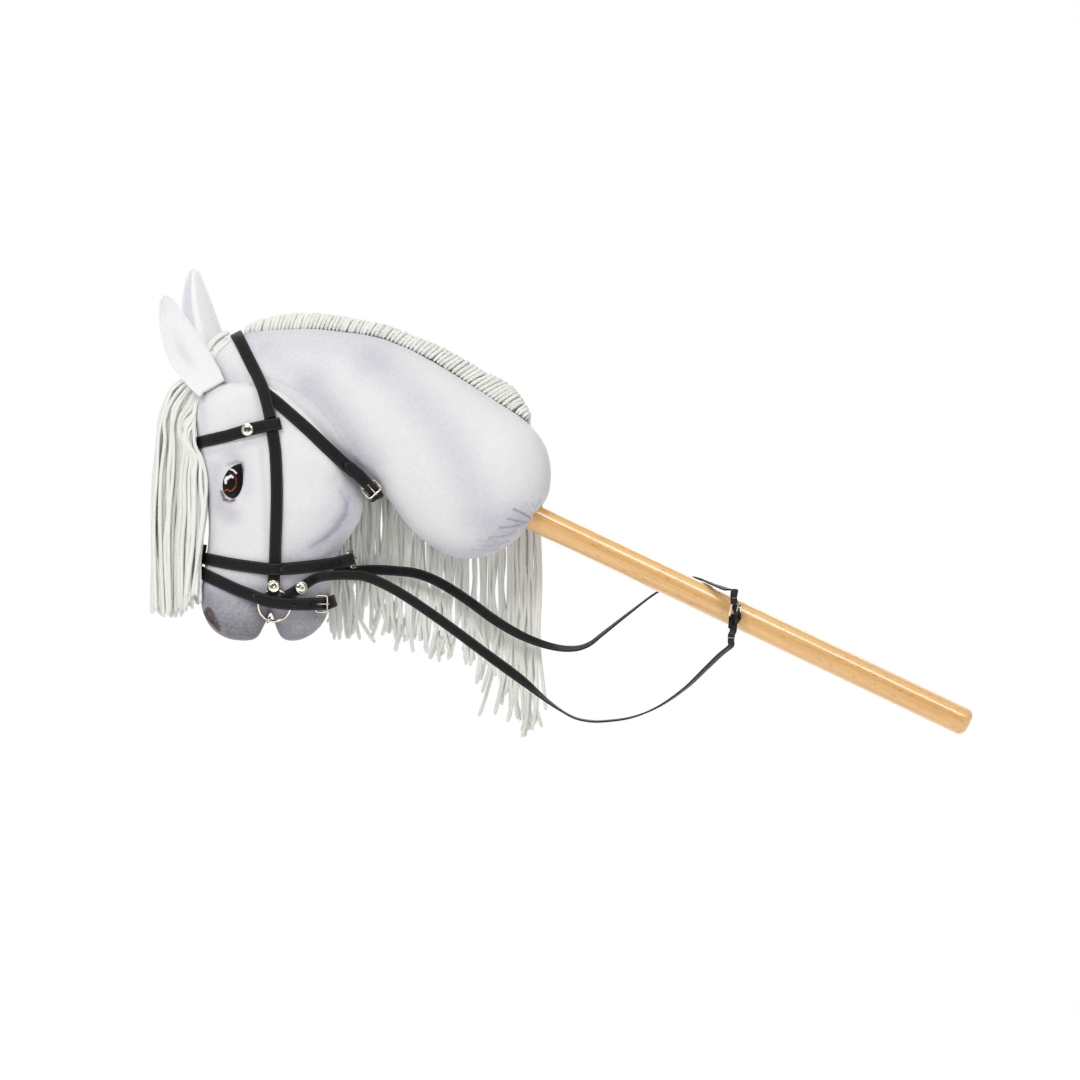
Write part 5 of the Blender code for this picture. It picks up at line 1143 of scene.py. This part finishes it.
EYE_OUTLINE = [
    (-360.5, 85.5), (-367, 83.5), (-373, 79), (-377.5, 72), (-379.2, 65), (-378.5, 58),
    (-375, 53), (-369.5, 50.5), (-364.5, 52.5), (-361, 58), (-359, 65), (-358.8, 74),
]
EYE_CENTRE = (-368.5, 67)
EYE_SHIFT = 1.4
EYE_ROWS = 46
EYE_BACK, EYE_RIM, EYE_DOME = 0.25, 0.45, 1.7
IRIS_ARC = [(230, 472.8), (233.7, 474.2), (236.5, 477.8), (237.2, 482.3), (236.2, 486.9),
            (233.2, 490.5), (230.6, 491.3), (228, 489.7), (225.2, 490.8)]
GLINTS = [([(226.4, 483.0), (226.2, 479.8), (227.4, 477.8)], 1.35),
          ([(227.2, 479.4), (229.0, 477.6), (231.4, 476.4)], 1.5),
          ([(231.6, 475.8), (233.4, 477.4)], 1.1),
          ([(231.2, 469.5), (234, 470.4), (237, 473.3)], 0.85)]
# Soft dabs of colour: line, radius, colour and softness, in the order in which they are printed
DABS = [(IRIS_ARC[:4], 0.25, srgb(96, 38, 26), 0.7), (IRIS_ARC[2:], 0.35, srgb(118, 50, 33), 0.8),
        (IRIS_ARC[4:8], 0.1, srgb(158, 84, 56), 0.7), (IRIS_ARC[7:], 0.1, srgb(150, 84, 56), 0.6),
        ([(236, 494), (232, 497), (228, 496)], 0.2, srgb(44, 34, 36), 1.0)]
DABS += [(line, radius - 0.25, srgb(252, 252, 255), 0.4) for line, radius in GLINTS]


def eye_form(name, side, surface):
    """A thin domed patch on the cheek, with the eye printed on it."""
    ring = smooth_curve([*EYE_OUTLINE, EYE_OUTLINE[0]], 0.5)[:-1]
    ring[:, 0] += EYE_SHIFT
    shares = np.linspace(1, 0.02, EYE_ROWS)
    centre = np.array(EYE_CENTRE) + (EYE_SHIFT, 0)
    sheets = []
    points = []
    for outer in (0, 1):
        rows = []
        for share in (shares if outer else shares[::6]):
            rise = EYE_BACK + outer * (EYE_RIM + EYE_DOME * (1 - share * share))
            if outer and share == 1:
                rise = EYE_RIM
            rows.append(list(range(len(points), len(points) + len(ring))))
            for x, z in centre + (ring - centre) * share:
                hit = first_hit(surface, (x * MM, -1, z * MM), (0, 1, 0))
                points.append((x * MM, side * (-hit.y + rise * MM), z * MM))
        sheets.append(rows)
    faces = []
    for rows in (*sheets, [sheets[0][0], sheets[1][0]]):
        faces += lathe_faces(rows, len(ring))
    faces += [tuple(rows[-1]) for rows in sheets]
    data = closed_mesh(name, points, faces)
    places = per_vertex(data, "co")
    colours = np.tile(np.array(srgb(13, 9, 10)), (len(places), 1))
    for line, radius, colour, soft in DABS:
        share = np.clip((radius + soft - to_line(places, line)) / soft, 0, 1)[:, None]
        colours = colours * (1 - share) + np.array(colour) * share
    layer = data.attributes.new("paint", "FLOAT_COLOR", "POINT")
    layer.data.foreach_set("color", colours.astype(np.float32).ravel())
    return place_mesh(name, data, EYE)


head_tree = tree_of(head)
for side, word, node in ((-1, "near", "eye_left"), (1, "far", "eye_right")):
    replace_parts(eye_form(word + "_eye", side, head_tree), node)


# ---- Yarn

class Yarn:
    """Collects two-ply strands and makes one mesh of them."""

    SIDES = 8
    PITCH = 9 * MM
    SWELL = 0.12
    START = (0.45, 0.85)
    END = (1.0, 0.97, 0.88, 0.55)

    def __init__(self, step=2.0 * MM):
        self.step = step
        self.points = []
        self.faces = []
        self.ends = []
        self.tones = []
        self.count = 0

    def add(self, line, radius, reference, tone, phase=0.0):
        """A strand along a line; reference is any way that the line doesn't take."""
        line = smooth_curve(line, self.step)
        _, a, b = frames_along(line, np.array(reference, dtype=float))
        total = len(line)
        s = np.arange(total) * self.step
        taper = np.ones(total)
        taper[:len(self.START)] = self.START
        taper[-len(self.END):] = self.END
        turn = math.tau * s / self.PITCH + phase
        angles = math.tau * np.arange(self.SIDES) / self.SIDES
        swell = 0.9 + self.SWELL * np.cos(2 * (angles[None, :] - turn[:, None]))
        size = radius * taper[:, None] * swell
        ring = (line[:, None, :] + a[:, None, :] * (size * np.cos(angles))[:, :, None]
                + b[:, None, :] * (size * np.sin(angles))[:, :, None])
        first = self.count
        self.points.append(ring.reshape(-1, 3))
        self.tones.append(np.full(total * self.SIDES, tone))
        index = first + np.arange((total - 1) * self.SIDES).reshape(total - 1, self.SIDES)
        after = np.roll(index, -1, axis=1)
        self.faces.append(np.stack([index, after, after + self.SIDES, index + self.SIDES],
                                   axis=2).reshape(-1, 4))
        self.count += total * self.SIDES
        self.ends.append(tuple(reversed(range(first, first + self.SIDES))))
        self.ends.append(tuple(range(self.count - self.SIDES, self.count)))

    def mesh(self, name):
        points = np.vstack(self.points)
        faces = [tuple(f) for f in np.vstack(self.faces)] + self.ends
        data = bpy.data.meshes.new(name)
        data.from_pydata(points.tolist(), [], faces)
        paint(data, "tone", np.concatenate(self.tones))
        return place_mesh(name, data, YARN)


CREST_TOP = smooth_curve([(x * MM, z * MM) for x, z, _, _ in NECK_OUTLINE[3:17]], 1.0 * MM)
CREST_RISE = [(243, 5), (258, 11), (286, 14), (320, 13), (364, 10.5), (394, 11), (426, 13),
              (457, 15), (482, 18.5), (496, 18.5), (506, 15.5), (515, 10.5), (523, 6.5),
              (529, 4), (534, 2.5)]
MANE_HEM = [(-343, 193), (-328, 160), (-318, 143), (-308, 105), (-292, 20), (-274, -84),
            (-256, -86), (-230, -74), (-190, -95), (-150, -105), (-125, -110), (-108, -145),
            (-85, -182), (-66, -172)]
# The layers of yarn, from the near side on, and how far apart the strands of each are
MANE_LAYERS = [(0, 3.9), (1, 4.8), (2, 5.6)]
MANE_START = -356.5 * MM
MANE_END = -72 * MM
# In front of this the loose ends curl back only, away from the face
MANE_CURLS_BACK = -255 * MM
# Behind this the strands spread towards the rump, up to so much
SPREAD_FROM, SPREAD_OVER, SPREAD_BY = -130 * MM, 54 * MM, 12 * MM
MANE_STEP = 11 * MM
MANE_FREE_SHARE = 0.62
# A loop's way out of the seam and over: shares of its height and of its lean, and its y in mm
MANE_ARCH = [(0.1, 0, -0.3), (0.55, 0.4, -0.1), (0.9, 0.8, 2.6), (1.0, 1.1, 7), (0.72, 1.6, 12.5)]


def crest_frame(x):
    """A point on the top of the neck, with the way along it and the way out of it."""
    i = int(np.clip(np.searchsorted(CREST_TOP[:, 0], x), 1, len(CREST_TOP) - 2))
    point = CREST_TOP[i]
    ahead = CREST_TOP[i + 1] - CREST_TOP[i - 1]
    ahead /= np.linalg.norm(ahead)
    return point, ahead, np.array((-ahead[1], ahead[0]))


def mane(surface):
    """Yarn sewn in along the top of the neck: up out of the seam, over, and down the far side."""
    hem_x = np.array([x for x, _ in MANE_HEM]) * MM
    hem_z = np.array([z for _, z in MANE_HEM]) * MM
    rise_x = [mm(px, 0)[0] * MM for px, _ in CREST_RISE]
    rise_h = [h * MM for _, h in CREST_RISE]
    crest = Yarn(1.5 * MM)
    fall = Yarn(2.2 * MM)
    rng = np.random.default_rng(11)
    for layer, pitch in MANE_LAYERS:
        for x0 in np.arange(MANE_START, MANE_END, pitch * MM):
            x0 = x0 + rng.uniform(-0.6, 0.6) * MM
            point, ahead, out = crest_frame(x0)
            radius = rng.uniform(1.9, 2.3) * MM
            height = float(np.interp(x0, rise_x, rise_h)) * rng.uniform(0.93, 1.03) - radius
            height = max(height - layer * 0.8 * MM, 1.5 * MM)
            lean = height * rng.uniform(0.42, 0.62)

            def up(share_out, share_along, y):
                p = point + out * height * share_out + ahead * lean * share_along
                return (p[0], y, p[1])

            start_y = (-4.4 + layer * 2.6) * MM
            tone = float(np.clip(rng.normal(0.3, 0.25), 0, 1))
            phase = rng.uniform(0, 6.28)
            root = point - out * 4 * MM - ahead * 0.3 * lean
            arch = [(root[0], start_y + 0.8 * MM, root[1])]
            arch += [up(*shares, start_y + y * MM) for *shares, y in MANE_ARCH]
            spread = SPREAD_BY * np.clip((x0 - SPREAD_FROM) / SPREAD_OVER, 0, 1)
            x = x0 + lean * 1.5 + rng.uniform(-2, 2) * MM
            bottom = float(np.interp(x, hem_x, hem_z)) + rng.uniform(-10, 18) * MM
            top = point[1] - 4 * MM
            if bottom > top - 12 * MM:
                crest.add(np.array(arch + [up(0.2, 2, start_y + 16 * MM)]), radius,
                          (1, 0, 0), tone, phase)
                continue
            widest = 0
            path = arch
            zs = np.append(np.arange(top - 3 * MM, bottom, -MANE_STEP), bottom)
            clearance = (3.0 + layer * 3.2 + rng.uniform(0, 1.2)) * MM
            sway = rng.uniform(0.3, 1.2) * MM
            wave = rng.uniform(60, 120) * MM
            drift = rng.normal(0, 3.6) * MM
            curl = rng.normal(0, 10.5) * MM
            if x < MANE_CURLS_BACK:
                curl = abs(curl)
            outward = rng.normal(0, 3.0) * MM
            for z in zs:
                # It hangs off the widest place that it has passed
                for beside in (-3 * MM, 0, 3 * MM):
                    for below in (0, 5 * MM):
                        reach = reach_in(surface, (x + beside, z - below), 1)
                        widest = max(widest, reach or 0)
                share = (top - z) / max(top - bottom, 1e-6)
                free = max(0.0, share - MANE_FREE_SHARE) / (1 - MANE_FREE_SHARE)
                sideways = sway * math.sin(math.tau * z / wave + phase) * (0.4 + 1.6 * share)
                xx = (x + drift * share + spread * min(1, 2.5 * share) + sideways
                      + curl * free ** 2.5)
                path.append((xx, widest + clearance * (0.7 + 0.3 * share) + max(0, outward) * free
                             + 0.8 * MM * math.sin(math.tau * z / (0.8 * wave) + 2 * phase), z))
            # The hanging strands are set a step darker: painted shade behind the neck
            fall.add(np.array(path), radius, (1, 0, 0), min(1.0, tone + 0.4), phase)
    return crest.mesh("mane_crest_yarn"), fall.mesh("mane_fall_yarn")


FORELOCK_OUTER = [(203, 392), (196, 383), (186, 379), (174, 387), (168, 399), (163, 417),
                  (159.5, 438), (156, 474), (153.8, 512), (153.5, 548), (156, 611)]
FORELOCK_INNER = [(206, 400), (204, 399), (201, 408), (200.5, 423), (190, 434), (190, 448),
                  (201.5, 461), (203, 482), (203.5, 512), (200.5, 548), (196, 600)]
FORELOCK_ROWS, FORELOCK_COLUMNS = 10, 11
FORELOCK_ROOT, FORELOCK_SPREAD = 6.0, 17.5


def forelock(surface):
    """A thick lock of yarn from the poll down over the forehead."""
    made = Yarn(2.0 * MM)
    rng = np.random.default_rng(21)
    outer = np.array([mm(px, py) for px, py in FORELOCK_OUTER])
    inner = np.array([mm(px, py) for px, py in FORELOCK_INNER])
    for a in np.linspace(0, 1, FORELOCK_ROWS):
        for b in np.linspace(-1, 1, FORELOCK_COLUMNS):
            share = np.clip(a + rng.uniform(-0.07, 0.07), 0, 1)
            path = []
            phase = rng.uniform(0, math.tau)
            last = rng.uniform(-1, 0.3)
            radius = rng.uniform(2.0, 2.5)
            side = b * (1 - 0.3 * (1 - a) ** 2) + rng.uniform(-0.08, 0.08)
            bow = rng.normal(0, 2.2)
            curl = rng.normal(0, 2.6)
            for k in range(len(outer)):
                x, z = outer[k] * (1 - share) + inner[k] * share
                down = k / (len(outer) - 1)
                y = side * (FORELOCK_ROOT + FORELOCK_SPREAD * min(1, down * 1.9))
                if k == len(outer) - 1:
                    z -= last * 10 + 9 * math.sin(math.pi * share)
                    x += curl
                x += (0.9 * math.sin(2.3 * k + phase) + bow * math.sin(math.pi * down)) * min(
                    1, 2 * down)
                y += 1.1 * math.cos(2.7 * k + phase) * down
                # In front of whatever it would touch
                for beside in (-2.5, 0, 2.5):
                    hit = first_hit(surface, (-1, (y + beside) * MM, z * MM), (1, 0, 0))
                    if hit is not None and k > 1:
                        x = min(x, hit.x / MM - radius - 0.6)
                path.append((x * MM, y * MM, z * MM))
            made.add(np.array(path), radius * MM, (0, 1, 0),
                     float(np.clip(rng.normal(0.4, 0.3), 0, 1)), phase)
    return made.mesh("forelock_yarn")


TUFT_LINE = [(-402, 168), (-397, 184), (-388.5, 202.5), (-378, 212.5), (-371.5, 215.5)]
# How far each strand lies out from the seam line, and its y; the lower ones lie on the neck
TUFT_STRANDS = [(-7.2, None), (-4.8, None), (-2.6, None), (-0.6, None), (1.2, -9), (1.6, -6),
                (2.2, -3), (2.4, 0), (2.2, 3), (1.6, 6), (1.2, 9), (3.0, -4.4), (3.4, 0),
                (3.0, 4.4)]


def poll_tuft(surface):
    """Short lengths of yarn over the seam between the ears."""
    made = Yarn(1.5 * MM)
    rng = np.random.default_rng(31)
    fine = smooth_curve(np.array(TUFT_LINE, dtype=float), 3)
    ahead = np.gradient(fine, axis=0)
    ahead /= np.linalg.norm(ahead, axis=1)[:, None]
    out = np.column_stack([-ahead[:, 1], ahead[:, 0]])
    along = np.linspace(0, 1, len(fine))
    strands = [(offset, y, side) for offset, y in TUFT_STRANDS
               for side in ((0,) if y is not None else (-1, 1))]
    for offset, y, side in strands:
        radius = rng.uniform(1.9, 2.2)
        late = rng.uniform(0.1, 0.3) if side else rng.uniform(0, 0.2)
        first = int(late * len(fine))
        wave = 0.5 * np.sin(along * rng.uniform(7, 12) + rng.uniform(0, 6))
        height = offset * (0.5 + 0.5 * np.sin(math.pi * along) ** 0.6 if offset > 0 else 1) + wave
        path = fine + out * height[:, None]
        line = []
        for (x, z), drift in list(zip(path, wave))[first:]:
            if side:
                reach = reach_in(surface, (x * MM, z * MM), side)
                if reach is None:
                    continue
                line.append((x, side * (reach / MM + radius + 0.3), z))
            else:
                line.append((x, y + 1.4 * drift, z))
        if len(line) > 3:
            made.add(np.array(line) * MM, radius * MM, (0.3, 1, 0), rng.uniform(0.1, 0.6),
                     rng.uniform(0, 6))
    return made.mesh("poll_tuft_yarn")


far_side = tree_of(head, neck, NODES["headpiece"], NODES["throatlatch_right"],
                   NODES["cheekpiece_right"], NODES["noseband"])
crest_yarn, fall_yarn = mane(far_side)
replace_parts(crest_yarn, "mane_crest")
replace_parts(fall_yarn, "mane_fall")
front = tree_of(head, NODES["browband"], NODES["nose_keeper"], NODES["noseband"],
                NODES["flash_strap"])
lock = forelock(front)
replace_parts(lock, "forelock")
tuft = poll_tuft(stuffing)
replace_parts(tuft, "poll_tuft")


# ---- Leather

WELD = 0.01 * MM
KEEPER_FOLD_FROM = -23 * MM
KEEPER_FOLD = 2.4 * MM
CORNER_ANGLE = math.radians(50)
CORNER_ROUND = 0.32 * MM
SEWN_WIDTHS = (2.2 * MM, 3.4 * MM)
OFF_THE_STRAP = 0.35 * MM


def welded(node):
    """The mesh of a node of the frame, with its corners' points joined."""
    build = bmesh.new()
    build.from_mesh(NODES[node].data)
    bmesh.ops.remove_doubles(build, verts=build.verts, dist=WELD)
    return build


def dressed_strap(node, core):
    """The strap of the frame with its edges rounded and stitches along its outer face."""
    build = welded(node)
    bmesh.ops.dissolve_limit(build, angle_limit=math.radians(0.6), verts=build.verts,
                             edges=build.edges)
    build.normal_update()
    if node == "nose_keeper":
        # It is folded back on itself, which fills the step between the two straps
        for v in build.verts:
            if v.co.z > KEEPER_FOLD_FROM and v.normal.x > 0.3:
                v.co.x += KEEPER_FOLD
        build.normal_update()
    tree = BVHTree.FromBMesh(build)
    stitches = Stitches()
    corners = []
    for edge in build.edges:
        if len(edge.link_faces) != 2 or edge.calc_face_angle(0) < CORNER_ANGLE:
            continue
        corners.append(edge)
        one, two = (v.co for v in edge.verts)
        along = two - one
        length = along.length
        if length < 1.0 * MM:
            continue
        along.normalize()
        middle = (one + two) / 2
        for face in edge.link_faces:
            normal = face.normal
            inward = normal.cross(along).normalized()
            if inward.dot(face.calc_center_median() - middle) < 0:
                inward = -inward
            # Only a wide face is sewn, and only on the side that shows
            if any(tree.find_nearest(middle + inward * reach)[3] > OFF_THE_STRAP
                   for reach in SEWN_WIDTHS):
                continue
            if core.find_nearest(middle)[1].dot(normal) < 0.2:
                continue
            count = max(1, int(round(length / STITCH_PITCH)))
            for k in range(count):
                p = one + along * length * (k + 0.5) / count + inward * STITCH_INSET
                spot, _, _, gap = tree.find_nearest(p)
                if gap < 0.3 * MM:
                    stitches.add(spot, along, normal)
    bmesh.ops.bevel(build, geom=corners, offset=CORNER_ROUND, segments=2, affect="EDGES",
                    clamp_overlap=True, profile=0.6)
    data = bpy.data.meshes.new(node + "_strap")
    build.to_mesh(data)
    build.free()
    data.shade_smooth()
    data.set_sharp_from_angle(angle=math.radians(34))
    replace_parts(place_mesh(node + "_strap", data, LEATHER, smooth=False), node)
    if stitches.points:
        stitches.mesh(node + "_stitches")


def coated(node, finish):
    """A node of the frame that shows as it is, with a finish of its own."""
    NODES[node].data.materials.clear()
    NODES[node].data.materials.append(finish)


core = tree_of(NODES["head"], NODES["neck"])
for node in ("headpiece", "cheekpiece_left", "cheekpiece_right", "browband", "throatlatch_left",
             "throatlatch_right", "noseband", "flash_strap", "nose_keeper", "rein_loop_left",
             "rein_loop_right"):
    dressed_strap(node, core)
for node in ("rein_tab", "rein_billet"):
    coated(node, LEATHER)


# ---- Metal

LATHE_STEPS = 48


def axis_of(node):
    """The points, centre and axis of a round piece of the frame."""
    build = welded(node)
    points = np.array([v.co[:] for v in build.verts])
    build.free()
    centre = points.mean(axis=0)
    values, vectors = np.linalg.eigh(np.cov((points - centre).T))
    odd = 0 if abs(values[1] - values[0]) > abs(values[2] - values[1]) else 2
    return points, centre, vectors[:, odd]


def lathe(name, profile, origin, axis):
    """A turned nickel piece: profile of (radius, height) along an axis, closed at both ends."""
    axis = Vector(axis).normalized()
    side = axis.orthogonal().normalized()
    other = axis.cross(side)
    points = []
    rings = []
    for radius, height in profile:
        middle = Vector(origin) + axis * height
        turns = [math.tau * k / LATHE_STEPS for k in range(LATHE_STEPS)]
        ring = [middle + side * radius * math.cos(turn) + other * radius * math.sin(turn)
                for turn in turns] if radius > 1e-7 else [middle]
        rings.append(list(range(len(points), len(points) + len(ring))))
        points += ring
    data = closed_mesh(name, points, lathe_faces(rings, LATHE_STEPS))
    data.shade_smooth()
    data.set_sharp_from_angle(angle=math.radians(50))
    return place_mesh(name, data, NICKEL, smooth=False)


STUD_RADIUS = 6.2 * MM
# The cap from its middle out and round its rim, as shares of its radius and height
STUD_POST = 0.24
STUD_CAP = [(0.0, 0.86), (0.10, 0.87), (0.2, 0.93), (0.34, 1.0), (0.5, 0.96), (0.66, 0.83),
            (0.78, 0.62), (0.85, 0.5), (0.9, 0.47), (0.95, 0.49), (0.985, 0.4), (1.0, 0.22),
            (0.985, 0.06), (0.95, 0.0), (STUD_POST, 0.0)]


def stud(node):
    """A nickel press-stud cap: rolled rim, shallow valley, domed middle with a dimple."""
    points, centre, axis = axis_of(node)
    along = (points - centre) @ axis
    radii = np.linalg.norm(points - centre - along[:, None] * axis, axis=1)
    rim = along[radii > 0.9 * STUD_RADIUS]
    tip = along[radii < 0.2 * STUD_RADIUS]
    if abs(tip.max() - rim.mean()) >= abs(tip.min() - rim.mean()):
        axis, rim, tip = -axis, -rim, -tip
    base = rim.min()
    top, foot = tip.max() - base, tip.min() - base
    profile = [(r * STUD_RADIUS, h * top) for r, h in STUD_CAP]
    profile += [(STUD_POST * STUD_RADIUS, foot), (0.0, foot)]
    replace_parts(lathe(node + "_cap", profile, centre + axis * base, axis), node)


for node in ("cheek_stud_left", "cheek_stud_right", "browband_stud_left", "browband_stud_right",
             "rein_stud_left", "rein_stud_right"):
    stud(node)


def rounded(node):
    """A piece of wire from the frame, made smoother."""
    name = node + "_wire"
    build = welded(node)
    data = bpy.data.meshes.new(name)
    build.to_mesh(data)
    build.free()
    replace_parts(place_mesh(name, subdivided(name, data, 1), NICKEL,
                           NODES[node]["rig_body"]), node)


for prefix in ("throatlatch", "noseband", "flash"):
    rounded(prefix + "_buckle")
    rounded(prefix + "_prong")
rounded("bit_mouthpiece")
for node in ("rein_buckle", "rein_prong"):
    coated(node, NICKEL)
    NODES[node].data.shade_smooth()

RING_RADIUS = 16.2 * MM
RING_WIRE = 1.3 * MM
RING_STEPS, RING_SIDES = 96, 16


def ring(node, body):
    """A bit ring of the frame as a finer torus."""
    points, _, axis = axis_of(node)
    axis = Vector(axis)
    centre = Vector(((points.max(axis=0) + points.min(axis=0)) / 2).tolist())
    side = axis.orthogonal().normalized()
    other = axis.cross(side)
    verts = []
    faces = []
    for i in range(RING_STEPS):
        turn = math.tau * i / RING_STEPS
        out = side * math.cos(turn) + other * math.sin(turn)
        here, after = i * RING_SIDES, (i + 1) % RING_STEPS * RING_SIDES
        for j in range(RING_SIDES):
            angle = math.tau * j / RING_SIDES
            verts.append(centre + out * (RING_RADIUS + RING_WIRE * math.cos(angle))
                         + axis * RING_WIRE * math.sin(angle))
            k = (j + 1) % RING_SIDES
            faces.append((here + j, here + k, after + k, after + j))
    data = closed_mesh(node + "_round", verts, faces)
    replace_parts(place_mesh(node + "_round", data, NICKEL, body), node)


ring("bit_ring_left", "near_ring")
ring("bit_ring_right", "far_ring")


# ---- Stick

STICK_RADIUS = 14 * MM
STICK_TO_FOOT = 408 * MM
STICK_TO_TOP = 250 * MM
STICK_CHAMFER = 2 * MM
STICK_STEPS = 96
FOOT_ROUND = 8 * MM
STICK_RING_PITCH = 10 * MM
UNEVENNESS = 0.0009


def stick():
    """The dowel: its own Z runs along the grain, so that the wood's pattern does too."""
    profile = [(0, STICK_TO_TOP), (STICK_RADIUS - STICK_CHAMFER, STICK_TO_TOP),
               (STICK_RADIUS, STICK_TO_TOP - STICK_CHAMFER)]
    for z in np.arange(STICK_TO_TOP - STICK_CHAMFER - STICK_RING_PITCH,
                       -STICK_TO_FOOT + FOOT_ROUND, -STICK_RING_PITCH):
        profile.append((STICK_RADIUS, z))
    for k in range(13):
        angle = math.radians(7.5 * k)
        profile.append((STICK_RADIUS - FOOT_ROUND * (1 - math.cos(angle)),
                        -STICK_TO_FOOT + FOOT_ROUND * (1 - math.sin(angle))))
    profile.append((0, -STICK_TO_FOOT))
    points = []
    rings = []
    for radius, height in profile:
        first = len(points)
        for k in range(STICK_STEPS if radius else 1):
            angle = math.tau * k / STICK_STEPS
            wave = math.sin(3 * angle + 40 * height) * math.cos(45 * height)
            out = radius * (1 - UNEVENNESS * (1 + wave))
            points.append((out * math.cos(angle), out * math.sin(angle), height))
        rings.append(list(range(first, len(points))))
    data = bpy.data.meshes.new("stick_dowel")
    data.from_pydata(points, [], lathe_faces(rings, STICK_STEPS))
    data.shade_smooth()
    data.set_sharp_from_angle(angle=math.radians(60))
    data.materials.append(BEECH)
    thing = new_object("stick_dowel", data)
    up = -Vector((math.cos(STICK_SLOPE), 0, -math.sin(STICK_SLOPE)))
    side = Vector((0, 1, 0))
    thing.matrix_world = Matrix((side.cross(up), side, up)).transposed().to_4x4()
    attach(thing, "horse")
    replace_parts(thing, "stick")


stick()
